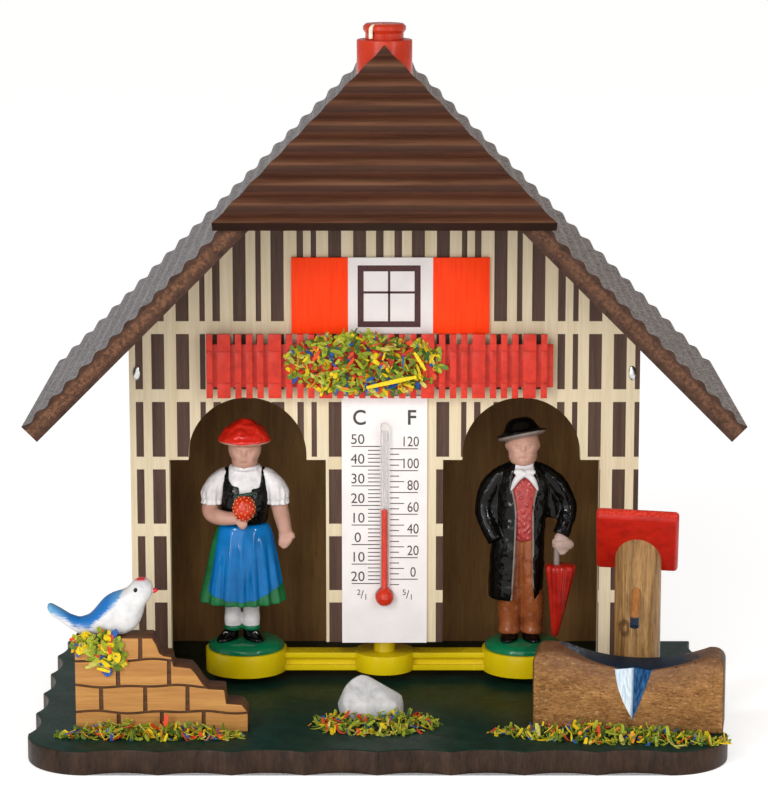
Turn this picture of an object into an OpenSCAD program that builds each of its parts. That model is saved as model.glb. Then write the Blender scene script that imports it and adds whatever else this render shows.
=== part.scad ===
// Weather house with a hanging figure carrier, adjustable chimney, thermometer and small front garden.
// X runs to the right, Y to the back, Z up. Origin: under the middle of the whole object. Millimetres.

/* [Base] */
// Width of the base board over the scallop points
base_w = 147; // [132:1:160]
// Depth of the base board
base_d = 86; // [80:1:96]
// Thickness of the base board
base_t = 5.2; // [4:0.1:8]
// Sideways offset of the base board under the house
base_shift = -1.4; // [-2:0.1:2]
// Distance between scallop points
scallop_pitch = 15.25; // [10:0.25:20]
// Depth of a scallop
scallop_depth = 1.8; // [0.8:0.1:3]
// Radius of the two front corners
corner_r = 13; // [8:0.5:16]

/* [House walls] */
// Front wall face to the back edge of the base
room_d = 37; // [36:0.5:42]
// Front wall thickness
wall_t = 4; // [3:0.1:4.2]
// Side wall thickness
side_t = 3; // [2:0.1:4]
// Back panel thickness
back_t = 3; // [2:0.1:4]
// Width of the middle column
column_w = 25.6; // [22:0.1:28]
// Width of each doorway
door_w = 34.2; // [34:0.1:38]
// Width of each outer pier
pier_w = 8.5; // [6:0.1:12]
// Height of the doorway shoulders above the base
shoulder_h = 51; // [46:0.1:56]
// Width of the arched upper doorway
arch_w = 25.8; // [22:0.1:30]
// Height where the arch starts, above the shoulders
arch_rise = 1; // [0.5:0.1:4]
// Gap under the middle column for the figure carrier
column_gap = 9.9; // [8.8:0.1:12]
// Height of the visible front nails above the base
nail_h = 70; // [60:0.5:74]

/* [Roof] */
// Roof pitch
roof_angle = 45; // [43:0.5:46]
// Underside of the ridge above the base
ridge_h = 134.2; // [128:0.1:140]
// Length of a roof board down the slope
roof_len = 101.4; // [95:0.1:106]
// Thickness of a roof board at a wave crest
roof_t = 4.5; // [4:0.1:6]
// Distance between waves
wave_pitch = 4.46; // [3.5:0.01:6]
// Depth of a wave
wave_h = 0.75; // [0.4:0.05:1.2]
// Roof front edge ahead of the front wall
roof_front = 36; // [30:0.5:40]
// Height of the gable hip's foot above the base
hip_h = 106.6; // [104:0.1:110]
// Slope of the gable hip
hip_angle = 59; // [55:0.5:63]
// Half width of the gable hip at its foot
hip_half = 35; // [33:0.1:38]
// Length of the gable hip up its slope
hip_len = 40; // [38:0.1:42]
// Thickness of the gable hip at a wave crest
hip_t = 4; // [2.4:0.1:5]

/* [Chimney and string] */
// String axis behind the front wall face
axis_back = 7; // [6.8:0.1:8]
// Chimney outer diameter
stack_d = 12; // [11:0.1:13]
// Chimney top above the roof's underside ridge
stack_up = 7.8; // [7:0.1:10]
// Chimney depth below the roof's underside ridge
stack_down = 7; // [5:0.1:9]
// Adjuster shaft diameter
knob_d = 8.3; // [7:0.1:9]
// Adjuster rim diameter
rim_d = 9.3; // [8.6:0.05:10.2]
// Adjuster rim height
rim_h = 2; // [1.4:0.1:3]
// Neck left visible between chimney and rim
neck_h = 1.4; // [0.8:0.1:3]
// Running clearance round a turning shaft
run_fit = 0.06; // [0.02:0.01:0.1]
// Axial play of the adjuster
axial_play = 0.25; // [0.1:0.05:0.4]
// Gut string diameter
gut_d = 0.9; // [0.6:0.05:1.2]

/* [Figure carrier] */
// Underside of the carrier above the base
carrier_lift = 2; // [1.4:0.1:2.6]
// Carrier disc height
disc_h = 4.9; // [4:0.1:5]
// Carrier disc diameter
disc_d = 18; // [15:0.1:19]
// Figure distance beyond the middle of the doorway
figure_out = 0.9; // [-1:0.1:1.6]
// Carrier hub diameter
hub_d = 13.3; // [11:0.1:15]
// Carrier hub height
hub_h = 4.2; // [3:0.1:5]
// Carrier post diameter
post_d = 4.8; // [4:0.1:5]
// Carrier post height above the hub
post_h = 19; // [14:0.5:26]
// Carrier bar height
bar_h = 4; // [3:0.1:4.2]
// Carrier bar width
bar_w = 4.6; // [3.6:0.1:6]
// Depth of the groove along each side of the bar
bar_groove = 1.1; // [0.5:0.1:1.4]
// Figure peg diameter
peg_d = 4; // [3:0.1:5]
// Figure peg length
peg_h = 3; // [2:0.1:3.8]
// Figure height above its disc
figure_h = 52.1; // [47:0.1:54]
// Diameter of the green foot under each figure
foot_d = 15.4; // [12:0.1:16]
// Height of the green foot under each figure
foot_h = 2.1; // [1.6:0.1:3]

/* [Thermometer and window] */
// Thermometer card width
card_w = 18.6; // [14:0.1:20]
// Thermometer card height
card_h = 55.4; // [48:0.1:55.5]
// Printed card thickness
card_t = 0.6; // [0.4:0.1:1]
// Thermometer tube diameter
tube_d = 1.9; // [1.5:0.1:2.4]
// Thermometer bulb diameter
bulb_d = 4; // [3:0.1:4.6]
// Bulb centre above the card's lower edge
bulb_h = 10.6; // [8:0.1:14]
// Tube length above the bulb centre
tube_len = 38.2; // [34:0.1:42]
// Spirit column above the bulb centre
spirit_len = 19.8; // [6:0.1:32]
// Window card width
window_w = 18.4; // [14:0.1:22]
// Window and shutter height
window_h = 16.6; // [12:0.1:20]
// Window middle, sideways
window_x = 1.3; // [-2:0.1:2]
// Window lower edge above the base
window_z = 79.1; // [76:0.1:84]
// Shutter width
shutter_w = 12.2; // [9:0.1:14]
// Shutter thickness
shutter_t = 0.8; // [0.5:0.1:1.5]

/* [Balcony] */
// Balcony middle, sideways
balcony_x = -1; // [-3:0.1:3]
// Picket height
picket_h = 14; // [11:0.1:14.6]
// Picket lower end above the base
balcony_z = 65.4; // [65:0.1:70]
// Picket thickness
picket_t = 1.2; // [0.8:0.1:2]
// Wide picket width
wide_w = 2.8; // [2:0.1:3.4]
// Narrow picket width
narrow_w = 1.35; // [1:0.05:1.8]
// Gap between pickets
picket_gap = 1.04; // [0.6:0.01:1.6]
// Groups of three narrow and one wide picket
groups = 6; // [5:1:7]
// Backing strip thickness
strip_t = 0.8; // [0.6:0.1:1.5]
// Spacer length between strip and wall
spacer_t = 1.6; // [1.2:0.1:3]

/* [Garden] */
// Garden wall width at the foot
garden_w = 36.2; // [30:0.1:40]
// Garden wall height
garden_h = 20.4; // [17:0.1:24]
// Garden wall thickness
garden_t = 7; // [5:0.1:9]
// Mortar groove depth
mortar_t = 0.5; // [0.3:0.05:0.9]
// Trough length
trough_w = 40.2; // [34:0.1:42]
// Trough depth
trough_d = 10; // [9:0.1:14]
// Trough height at its ends
trough_h = 16.4; // [14:0.1:18]
// Depth of the hollow in the trough's top
scoop_h = 3; // [2:0.1:4]
// Radius of the trough's upper edges
trough_edge = 2.4; // [1.5:0.1:3.5]
// Turn of the trough toward the viewer
trough_yaw = 8.2; // [0:0.1:12]
// Pump post diameter
pump_d = 9.9; // [8:0.1:10.5]
// Pump post top above the base
pump_h = 39; // [36:0.1:46]
// Pump post socket depth in the base
socket_h = 3; // [2:0.1:3.6]
// Pump board width
board_w = 17.4; // [15:0.1:20]
// Pump board length down its slope
board_h = 18.7; // [16:0.1:20]
// Pump board thickness
board_t = 2.7; // [2:0.1:4]
// Slope of the pump board
board_tilt = 50; // [42:0.5:56]
// Pump board reach beyond the post's top edge
board_up = 7.5; // [5:0.1:9]
// Spout diameter
spout_d = 1.9; // [1.4:0.1:2.4]

/* [Hidden] */
$fn = 64;
eps = 0.01;
far = 200;
fit = 0.05;
z0 = base_t;
total_d = base_d + back_t;
front_y = -total_d / 2;
back_y = front_y + base_d;
wall_y = back_y - room_d;
axis_y = wall_y + axis_back;
left_x = base_shift - base_w / 2;
right_x = base_shift + base_w / 2;
house_w = column_w + 2 * door_w + 2 * pier_w;
door_x = (column_w + door_w) / 2;
figure_r = door_x + figure_out;
apex_z = z0 + ridge_h;
slope = tan(roof_angle);
roof_y = wall_y - roof_front;
hip_y = roof_y - 1;
hip_z = z0 + hip_h;
ridge_u = -roof_t * slope;
wave_n = round((roof_len - ridge_u) / wave_pitch);
wave_p = (roof_len - ridge_u) / wave_n;
stack_r = stack_d / 2;
stack_z = apex_z - stack_down;
stack_top = apex_z + stack_up;
knob_r = knob_d / 2;
knob_z = stack_z + 2.4;
rim_z = stack_top + neck_h;
knob_top = rim_z + rim_h;
gut_r = gut_d / 2;
gut_turn = 52;
disc_z = z0 + carrier_lift;
disc_top = disc_z + disc_h;
post_top = disc_z + hub_h + post_h;
card_z = z0 + column_gap;
bulb_z = card_z + bulb_h;
tube_y = wall_y - card_t - tube_d / 2;
rail_y = wall_y - spacer_t - strip_t - picket_t;
rail_w = (3 * groups + 3) * narrow_w + (groups + 1) * wide_w + (4 * groups + 2) * picket_gap;
garden_x = left_x + garden_w * 0.2762;
garden_y = front_y + base_d * 0.1616;
courses = [0, 0.215 * garden_h, 0.49 * garden_h, 0.765 * garden_h, garden_h];
trough_x = right_x - trough_w * 0.5224;
trough_y = front_y + base_d * 0.1727;
notch_x = trough_w * 0.0323;
pump_x = trough_w * 0.0224;
pump_r = pump_d / 2;
pump_y = trough_d + pump_r + fit;
spout_z = pump_h * 0.695;
spout_len = pump_h * 0.2;
spout_tilt = 47;
nail_z = z0 + nail_h;
figure_k = figure_h / 52.1;

function under_z(x) = apex_z - abs(x) * slope;
function wave(s, top, depth, pitch) = top - depth * (1 - cos(360 * s / pitch)) / 2;

// Fills an XZ outline from y1 to y2.
module along_y(y1, y2) {
  translate([0, y2, 0])
    rotate([90, 0, 0])
      linear_extrude(y2 - y1)
        children();
}

// Box from one corner to the other.
module span(a, b) {
  translate(a)
    cube(b - a);
}

module upright(x, y, z1, z2, r) {
  translate([x, y, z1])
    cylinder(h = z2 - z1, r = r);
}

// Cylinder that starts at a point and runs to the back.
module bore_y(x, y, z, len, r) {
  translate([x, y, z])
    rotate([-90, 0, 0])
      cylinder(h = len, r = r);
}

// Thin oval slice of a figure, centred at [x, y, z].
module slice(p, rx, ry) {
  translate(p)
    scale([1, ry / rx, 1])
      cylinder(h = 0.05, r = rx, center = true, $fn = 20);
}

module ball(p, rx, ry, rz) {
  translate(p)
    scale([1, ry / rx, rz / rx])
      sphere(r = rx, $fn = 18);
}

// Skin over a stack of oval slices given as [x, y, z, rx, ry].
module loft(rows) {
  for (i = [0 : len(rows) - 2])
    hull() {
      slice([rows[i][0], rows[i][1], rows[i][2]], rows[i][3], rows[i][4]);
      slice([rows[i + 1][0], rows[i + 1][1], rows[i + 1][2]], rows[i + 1][3], rows[i + 1][4]);
    }
}

// Limb through points given as [x, y, z, r].
module limb(rows) {
  for (i = [0 : len(rows) - 2])
    hull() {
      for (k = [0, 1])
        translate([rows[i + k][0], rows[i + k][1], rows[i + k][2]])
          sphere(r = rows[i + k][3], $fn = 12);
    }
}

// Base board

module scallop(x, y) {
  r = (scallop_pitch * scallop_pitch / 4 + scallop_depth * scallop_depth) / (2 * scallop_depth);
  translate([x, y, -1])
    cylinder(h = base_t + 2, r = r, $fn = 96);
}

module base_plate() {
  run = base_w - 2 * corner_r;
  n = round(run / scallop_pitch);
  p = run / n;
  r = (scallop_pitch * scallop_pitch / 4 + scallop_depth * scallop_depth) / (2 * scallop_depth);
  tip = 0.1;
  off = sqrt(r * r - pow(p / 2 - tip, 2));
  side_n = ceil((base_d - corner_r) / p);
  color("#1f4a38")
    difference() {
      union() {
        span([left_x, front_y + corner_r, 0], [right_x, back_y, base_t]);
        span([left_x + corner_r, front_y, 0], [right_x - corner_r, front_y + corner_r + eps, base_t]);
        upright(left_x + corner_r, front_y + corner_r, 0, base_t, corner_r);
        upright(right_x - corner_r, front_y + corner_r, 0, base_t, corner_r);
      }
      for (i = [0 : n - 1])
        scallop(left_x + corner_r + (i + 0.5) * p, front_y - off);
      for (i = [0 : side_n - 1])
        for (x = [left_x - off, right_x + off])
          scallop(x, front_y + corner_r + (i + 0.5) * p);
      trough_frame()
        upright(pump_x, pump_y, -socket_h - fit, 1, pump_r + fit);
    }
}

// House walls

module gable_outline(w, z) {
  polygon([[-w / 2, z], [w / 2, z], [w / 2, under_z(w / 2)], [0, apex_z], [-w / 2, under_z(w / 2)]]);
}

module door_cut(x) {
  spring = z0 + shoulder_h + arch_rise;
  span([x - door_w / 2, wall_y - 1, z0 - 1], [x + door_w / 2, wall_y + wall_t + 1, z0 + shoulder_h]);
  span([x - arch_w / 2, wall_y - 1, z0], [x + arch_w / 2, wall_y + wall_t + 1, spring]);
  bore_y(x, wall_y - 1, spring, wall_t + 2, arch_w / 2);
}

module front_wall() {
  color("#e6d3a4")
    difference() {
      along_y(wall_y, wall_y + wall_t)
        gable_outline(house_w, z0);
      door_cut(door_x);
      door_cut(-door_x);
      span([-column_w / 2 - eps, wall_y - 1, z0 - 1], [column_w / 2 + eps, wall_y + wall_t + 1, card_z]);
      upright(0, axis_y, stack_z - fit, apex_z + 1, stack_r + fit);
      bore_y(0, wall_y - 1, bulb_z, 1 + bulb_seat(), bulb_d / 2 + fit);
      nail_bores(wall_y - 1, 1 + wall_t + eps);
    }
}

// Depth of the pocket that takes the back of the thermometer bulb.
function bulb_seat() = max(0.4, bulb_d / 2 - tube_d / 2 - card_t + fit);

module side_wall(s) {
  outer = house_w / 2;
  inner = outer - side_t;
  color("#5d3f22")
    difference() {
      along_y(wall_y + wall_t, back_y)
        polygon([
          [s * outer, z0], [s * inner, z0], [s * inner, under_z(inner)], [s * outer, under_z(outer)]
        ]);
      nail_bores(wall_y, 14);
      back_nail_bores();
    }
}

module side_wall_left() {
  side_wall(-1);
}

module side_wall_right() {
  side_wall(1);
}

module back_panel() {
  color("#5a4024")
    difference() {
      along_y(back_y, back_y + back_t)
        gable_outline(house_w, 0);
      back_nail_bores();
    }
}

nail_x = house_w / 2 - side_t / 2;
nail_len = wall_t + 6;

module nail_bores(y, len) {
  for (s = [-1, 1])
    bore_y(s * nail_x, y, nail_z, len, 0.5 + fit);
}

module back_nail_bores() {
  for (s = [-1, 1])
    for (z = [z0 + 12, nail_z - 6])
      translate([s * nail_x, back_y + back_t + eps, z])
        rotate([90, 0, 0]) {
          cylinder(h = back_t + 6.5, r = 0.5 + fit);
          cylinder(h = 0.5 + eps, r = 1.1 + fit);
        }
}

module wall_nails() {
  color("#c9c9c9")
    for (s = [-1, 1])
      translate([s * nail_x, wall_y, nail_z])
        rotate([-90, 0, 0]) {
          cylinder(h = nail_len, r = 0.5);
          translate([0, 0, -0.5])
            cylinder(h = 0.5, r = 1);
        }
}

module back_nails() {
  color("#c9c9c9")
    for (s = [-1, 1])
      for (z = [z0 + 12, nail_z - 6])
        translate([s * nail_x, back_y + back_t, z])
          rotate([90, 0, 0]) {
            cylinder(h = 0.5, r = 1.1);
            cylinder(h = back_t + 6, r = 0.5);
          }
}

// Roof

module hip_frame() {
  translate([0, hip_y, hip_z])
    rotate([hip_angle, 0, 0])
      children();
}

module roof_board() {
  steps = wave_n * 8;
  top = [for (i = [steps : -1 : 0])
    let (s = i * wave_p / 8) [ridge_u + s, wave(s, roof_t, wave_h, wave_p)]];
  color("#8d8a85")
    difference() {
      along_y(roof_y, back_y + back_t)
        translate([0, apex_z])
          rotate(-roof_angle)
            polygon(concat([[0, 0], [roof_len, 0]], top));
      hip_frame()
        span([-far, -1, 0], [far, far, far]);
      upright(0, axis_y, stack_z - 1, stack_top, stack_r + fit);
    }
}

module roof_right() {
  roof_board();
}

module roof_left() {
  mirror([1, 0, 0])
    roof_board();
}

module gable_hip() {
  n = round(hip_len / wave_pitch);
  p = hip_len / n;
  steps = n * 8;
  face = [for (i = [steps : -1 : 0])
    let (s = i * p / 8) [s, wave(s, hip_t, wave_h, p)]];
  color("#5b3c26")
    hip_frame()
      intersection() {
        linear_extrude(hip_t + 1)
          polygon([[-hip_half, 0], [hip_half, 0], [0, hip_len]]);
        translate([-hip_half - 1, 0, 0])
          rotate([90, 0, 90])
            linear_extrude(2 * hip_half + 2)
              polygon(concat([[0, 0], [hip_len, 0]], face));
      }
}

// Chimney, adjuster and string

module chimney_stack() {
  color("#c8281c")
    difference() {
      upright(0, axis_y, stack_z, stack_top, stack_r);
      upright(0, axis_y, knob_z, stack_top + 1, knob_r + run_fit);
      upright(0, axis_y, stack_z - 1, stack_top, gut_r + 1);
    }
}

module adjuster_knob() {
  rim_r = rim_d / 2;
  slot_r = gut_r + 0.03;
  slot_x = -knob_r + gut_d + fit;
  slot_z = knob_top - gut_d - fit;
  color("#d8301f")
    difference() {
      union() {
        upright(0, axis_y, knob_z + axial_play, rim_z + eps, knob_r);
        translate([0, axis_y, rim_z]) {
          cylinder(h = rim_h * 0.35, r1 = knob_r, r2 = rim_r);
          translate([0, 0, rim_h * 0.35])
            cylinder(h = rim_h * 0.35, r = rim_r);
          translate([0, 0, rim_h * 0.7])
            cylinder(h = rim_h * 0.3, r1 = rim_r, r2 = rim_r - rim_h * 0.3);
        }
      }
      upright(0, axis_y, knob_z - 1, knob_top + 1, gut_r + fit);
      gut_frame()
        along_y(-slot_r, slot_r)
          polygon([
            [-rim_r - 1, rim_z - 0.1], [slot_x, rim_z - 0.1], [slot_x, slot_z],
            [0, slot_z], [0, knob_top + 1], [-rim_r - 1, knob_top + 1]
          ]);
    }
}

// Turns the string's slot to the front left of the knob.
module gut_frame() {
  translate([0, axis_y, 0])
    rotate([0, 0, gut_turn])
      children();
}

module gut_string() {
  bend = gut_d;
  lie_z = knob_top - gut_r;
  out_x = -knob_r - gut_r - fit - 0.1;
  color("#e9dcc0")
    gut_frame() {
      upright(0, 0, post_top - 10, lie_z - bend, gut_r);
      translate([-bend, 0, lie_z - bend])
        rotate([90, 0, 0])
          rotate_extrude(angle = 90)
            translate([bend, 0])
              circle(r = gut_r);
      translate([-bend, 0, lie_z])
        rotate([0, -90, 0])
          cylinder(h = -out_x - 2 * bend, r = gut_r);
      translate([out_x + bend, 0, lie_z - bend])
        rotate([90, 0, 0])
          rotate([0, 0, 90])
            rotate_extrude(angle = 90)
              translate([bend, 0])
                circle(r = gut_r);
      upright(out_x, 0, stack_top + 0.4, lie_z - bend, gut_r);
    }
}

// Figure carrier

module figure_carrier() {
  bar_z = disc_z + 0.1;
  flange = bar_h * 0.28;
  color("#e0bd12")
    difference() {
      union() {
        upright(0, axis_y, disc_z + 0.1, disc_z + hub_h, hub_d / 2);
        upright(0, axis_y, disc_z + hub_h - eps, post_top, post_d / 2);
        for (s = [-1, 1])
          upright(s * figure_r, axis_y, disc_z, disc_top, disc_d / 2);
        difference() {
          span([-figure_r, axis_y - bar_w / 2, bar_z], [figure_r, axis_y + bar_w / 2, bar_z + bar_h]);
          for (s = [-1, 1])
            translate([-figure_r - 1, axis_y + s * bar_w / 2 - bar_groove, bar_z + flange])
              cube([2 * figure_r + 2, 2 * bar_groove, bar_h - 2 * flange]);
        }
      }
      upright(0, axis_y, post_top - 11, post_top + 1, gut_r + run_fit);
      for (s = [-1, 1])
        upright(s * figure_r, axis_y, disc_top - peg_h - 0.3, disc_top + 1, peg_d / 2 + fit);
    }
}

// Figures

module figure_frame(s) {
  translate([s * figure_r, axis_y, disc_top])
    children();
}

module figure_foot() {
  r = foot_d / 2;
  upright(0, 0, -peg_h, eps, peg_d / 2);
  upright(0, 0, 0, foot_h * 0.62, r);
  translate([0, 0, foot_h * 0.62])
    cylinder(h = foot_h * 0.38, r1 = r, r2 = r - foot_h * 0.7);
}

// Scales a figure's body, modelled 52.1 tall, to the figure height.
module figure_body() {
  scale(figure_k)
    children();
}

module shoes() {
  for (s = [-1, 1])
    loft([[s * 2.4, -1.2, 2, 1.9, 3.6], [s * 2.4, -1, 3, 1.9, 3.4], [s * 2.3, 0, 4.4, 1.6, 2.1]]);
}

module woman_body() {
  shoes();
  for (s = [-1, 1])
    loft([[s * 2.2, 0.2, 4, 1.5, 1.6], [s * 2.3, 0.2, 11.1, 2.1, 2]]);
  loft([
    [0, 0.4, 10.3, 9.3, 6.7], [0, 0.4, 11.3, 9.4, 6.8], [0, 0.3, 15, 8.7, 6.3],
    [0, 0.2, 21, 7.7, 5.7], [0, 0.1, 26, 6.7, 5], [0, 0, 28.6, 6, 4.4]
  ]);
  loft([
    [0, 0.05, 28.2, 4.75, 3.72], [0, -0.25, 32.1, 5.05, 4.1], [0, -0.1, 36.1, 5.4, 3.92],
    [0, 0.05, 39.1, 5.35, 3.3], [0, 0.1, 41.1, 4.15, 2.4], [0, -0.05, 42.1, 1.9, 1.85]
  ]);
  for (s = [-1, 1])
    ball([s * 7, 0.07, 36.45], 2.9, 3, 3.9);
  limb([[-7.4, -0.45, 33.4, 1.6], [-7.6, -1.2, 30.1, 1.5], [-2, -4.4, 30.3, 1.3]]);
  limb([[7.6, 0.05, 33.4, 1.6], [8.9, -0.6, 28, 1.4], [9.2, -1.4, 24, 1.5]]);
  ball([0, -5.05, 33.1], 2.5, 2.3, 2.8);
  ball([0, -0.2, 43.9], 3.6, 3.8, 4.2);
  ball([0, 1, 44.4], 3.9, 3.4, 3.6);
  loft([
    [0, 0.2, 47.1, 4.6, 4.6], [0, 0.2, 47.6, 5.9, 5.8], [0, 0.2, 48.5, 5.4, 5.3],
    [0, 0.2, 50.4, 4.4, 4.4], [0, 0.2, 51.6, 2.8, 2.8], [0, 0.2, 52.1, 1.2, 1.2]
  ]);
}

module woman_figure() {
  color("#2f6fb5")
    figure_frame(-1) {
      figure_foot();
      figure_body()
        woman_body();
    }
}

module man_body() {
  shoes();
  for (s = [-1, 1])
    loft([
      [s * 2.5 - 0.3, 0, 4, 2.2, 2.3], [s * 2.6 - 0.4, 0.2, 8, 2.5, 2.7],
      [s * 2.6 - 0.5, 0.2, 13, 2.6, 2.9]
    ]);
  loft([
    [-1.6, 0.2, 11.5, 6.2, 4.9], [-1.5, 0.2, 17, 6.2, 4.8], [-1.3, 0.1, 24, 6, 4.5],
    [-0.6, 0, 30, 5.6, 4.1], [0, 0, 36, 6.1, 4.1], [-0.2, 0.1, 40, 6.1, 3.5],
    [-0.2, 0.2, 42, 3.8, 2.6], [-0.3, 0, 43.2, 2.2, 2]
  ]);
  limb([[-6, 0, 39.2, 2.4], [-8.9, 0.4, 32, 1.9], [-6.2, -2.6, 25.2, 1.8]]);
  limb([[5.6, 0, 39.2, 2.4], [10, 0.2, 32, 1.9], [7.9, -2.4, 26.5, 1.7], [8.1, -3, 24.2, 1.6]]);
  limb([[7, -3.2, 24, 0.7], [7, -3.4, 19.2, 0.8]]);
  loft([
    [8.1, -3.4, 19.6, 3.3, 2.8], [8, -3.4, 17, 2.9, 2.5],
    [7.4, -3.6, 8, 1.5, 1.4], [7, -3.7, 3.5, 0.7, 0.7]
  ]);
  ball([-0.3, -0.2, 45], 3.6, 3.8, 4.1);
  ball([-0.3, 0.9, 45.6], 3.8, 3.4, 3.4);
  translate([-0.4, 0.2, 47.4])
    rotate([0, -5, 0])
      loft([
        [0, 0, 0, 4.6, 4.6], [0, 0, 0.5, 5.6, 5.4], [0, 0, 1, 5.5, 5.3],
        [0, 0, 1.3, 4, 3.9], [0, 0, 3.8, 3.7, 3.6], [0, 0, 4.7, 2.6, 2.6]
      ]);
}

module man_figure() {
  color("#26262b")
    figure_frame(1) {
      figure_foot();
      figure_body()
        man_body();
    }
}

// Thermometer and window

module thermometer_card() {
  color("#f4f2ee")
    difference() {
      span([-card_w / 2, wall_y - card_t, card_z], [card_w / 2, wall_y, card_z + card_h]);
      bore_y(0, wall_y - card_t - 1, bulb_z, card_t + 2, bulb_d / 2 + fit);
    }
}

module thermometer_tube() {
  color("#dfe8ea")
    difference() {
      union() {
        translate([0, tube_y, bulb_z])
          sphere(r = bulb_d / 2);
        upright(0, tube_y, bulb_z, bulb_z + tube_len, tube_d / 2);
        translate([0, tube_y, bulb_z + tube_len])
          sphere(r = tube_d / 2);
      }
      translate([0, tube_y, bulb_z])
        sphere(r = bulb_d / 2 - 0.35);
      upright(0, tube_y, bulb_z, bulb_z + tube_len - 1, tube_d / 4);
    }
}

module spirit_column() {
  color("#d81e1e")
    union() {
      translate([0, tube_y, bulb_z])
        sphere(r = bulb_d / 2 - 0.4);
      upright(0, tube_y, bulb_z, bulb_z + spirit_len, tube_d / 4 - 0.05);
    }
}

module window_card() {
  z = z0 + window_z;
  color("#f2efe9")
    span([window_x - window_w / 2, wall_y - card_t, z], [window_x + window_w / 2, wall_y, z + window_h]);
}

module shutter(x) {
  z = z0 + window_z;
  color("#e8391b")
    span([x, wall_y - shutter_t, z], [x + shutter_w, wall_y, z + window_h]);
}

module shutter_left() {
  shutter(window_x - window_w / 2 - shutter_w);
}

module shutter_right() {
  shutter(window_x + window_w / 2);
}

// Balcony

module picket(x, w) {
  z = z0 + balcony_z;
  span([x, rail_y, z], [x + w, rail_y + picket_t + eps, z + picket_h]);
}

module balcony_rail() {
  x0 = balcony_x - rail_w / 2;
  step = narrow_w + picket_gap;
  first = step + wide_w + picket_gap;
  group = 3 * step + wide_w + picket_gap;
  strip_y = rail_y + picket_t;
  z = z0 + balcony_z;
  color("#b3202a")
    difference() {
      union() {
        picket(x0, narrow_w);
        picket(x0 + step, wide_w);
        for (g = [0 : groups - 1])
          for (k = [0 : 3])
            picket(x0 + first + g * group + k * step, k == 3 ? wide_w : narrow_w);
        picket(x0 + first + groups * group, narrow_w);
        span([x0, strip_y, z + 2.2], [x0 + rail_w, strip_y + strip_t, z + picket_h - 2.4]);
        for (x = [-rail_w / 3, 0, rail_w / 3])
          bore_y(balcony_x + x, strip_y, z + picket_h / 2, strip_t + spacer_t, 2);
      }
      for (h = [3.4, picket_h - 3.6])
        span([x0 - 1, rail_y - 1, z + h - 0.25], [x0 + rail_w + 1, rail_y + 0.35, z + h + 0.25]);
    }
}

// Low oval mound on a flat face, grown along -Y or +Z by the caller's turn.
module mound(rx, ry, rz) {
  difference() {
    scale([1, ry / rx, rz / rx])
      sphere(r = rx, $fn = 20);
    translate([-far, -far, -2 * far])
      cube(2 * far);
  }
}

module balcony_flowers() {
  color("#a8b52e")
    translate([-4.6, rail_y, z0 + balcony_z + picket_h * 0.55])
      rotate([90, 0, 0])
        mound(17.2, 6.6, 2.6);
}

// Garden wall and bird

module garden_outline() {
  w = garden_w;
  h = garden_h;
  polygon([
    [0, 0], [0, h], [w * 0.45, h], [w * 0.475, h * 0.92], [w * 0.49, h * 0.84], [w * 0.515, h * 0.81],
    [w * 0.56, h * 0.8], [w * 0.57, h * 0.7], [w * 0.67, h * 0.68], [w * 0.7, h * 0.62],
    [w * 0.735, h * 0.52], [w * 0.765, h * 0.46], [w * 0.865, h * 0.45], [w * 0.875, h * 0.3],
    [w * 0.965, h * 0.29], [w, h * 0.21], [w, 0]
  ]);
}

module mortar_joint(x, course) {
  span([x - 0.45, -1, courses[course]], [x + 0.45, mortar_t, courses[course + 1]]);
}

module garden_wall() {
  color("#d39a58")
    translate([garden_x, garden_y, z0])
      difference() {
        along_y(0, garden_t)
          garden_outline();
        for (c = [1 : 3])
          span([-1, -1, courses[c] - 0.3], [garden_w + 1, mortar_t, courses[c] + 0.3]);
        for (f = [0.25, 0.5, 0.74])
          mortar_joint(f * garden_w, 0);
        for (f = [0.15, 0.405, 0.65])
          mortar_joint(f * garden_w, 1);
        for (f = [0.25, 0.545])
          mortar_joint(f * garden_w, 2);
        for (f = [0.13, 0.38])
          mortar_joint(f * garden_w, 3);
      }
}

// Oval ribs of the bird from tail to beak, given as [x, z, half width, half height].
bird_rows = [
  [0.2, 6.4, 0.9, 0.7], [1, 5.8, 1.6, 1.4], [3, 4.6, 1.7, 1.5], [5, 3.2, 1.8, 1.6], [7, 2.2, 2.1, 1.9],
  [9, 2.3, 2.6, 2.4], [11.5, 3.4, 3, 3.4], [14, 4.5, 3.2, 4.4], [16.4, 5.5, 3.1, 5.2], [18.2, 6.8, 3, 5.2],
  [19.6, 8.6, 2.9, 4.2], [21, 9.6, 2.6, 3.1], [22.2, 9.7, 1.8, 2], [22.5, 9.7, 0.6, 0.5], [23.8, 9.6, 0.2, 0.2]
];

module bird_rib(r) {
  translate([r[0], 0, r[1]])
    rotate([0, 90, 0])
      scale([r[3] / r[2], 1, 1])
        cylinder(h = 0.05, r = r[2], center = true, $fn = 20);
}

module bird() {
  color("#e9ebee")
    translate([left_x + 3.9, garden_y + garden_t / 2, z0 + garden_h])
      difference() {
        translate([0, 0, -0.4])
          for (i = [0 : len(bird_rows) - 2])
            hull() {
              bird_rib(bird_rows[i]);
              bird_rib(bird_rows[i + 1]);
            }
        span([-far, -far, -far], [far, far, 0]);
      }
}

module wall_top_flowers() {
  color("#b9c23a")
    translate([garden_x + 5.2, garden_y, z0 + garden_h * 0.8])
      rotate([90, 0, 0])
        mound(5.8, garden_h * 0.2, 2.4);
}

module wall_foot_flowers() {
  color("#9dae34")
    difference() {
      translate([garden_x + garden_w * 0.44, garden_y, z0])
        mound(20, 5, 4);
      span([-far, garden_y, 0], [far, far, far]);
    }
}

// Stone

stone_x = -3;
stone_y = front_y + 28;

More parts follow.
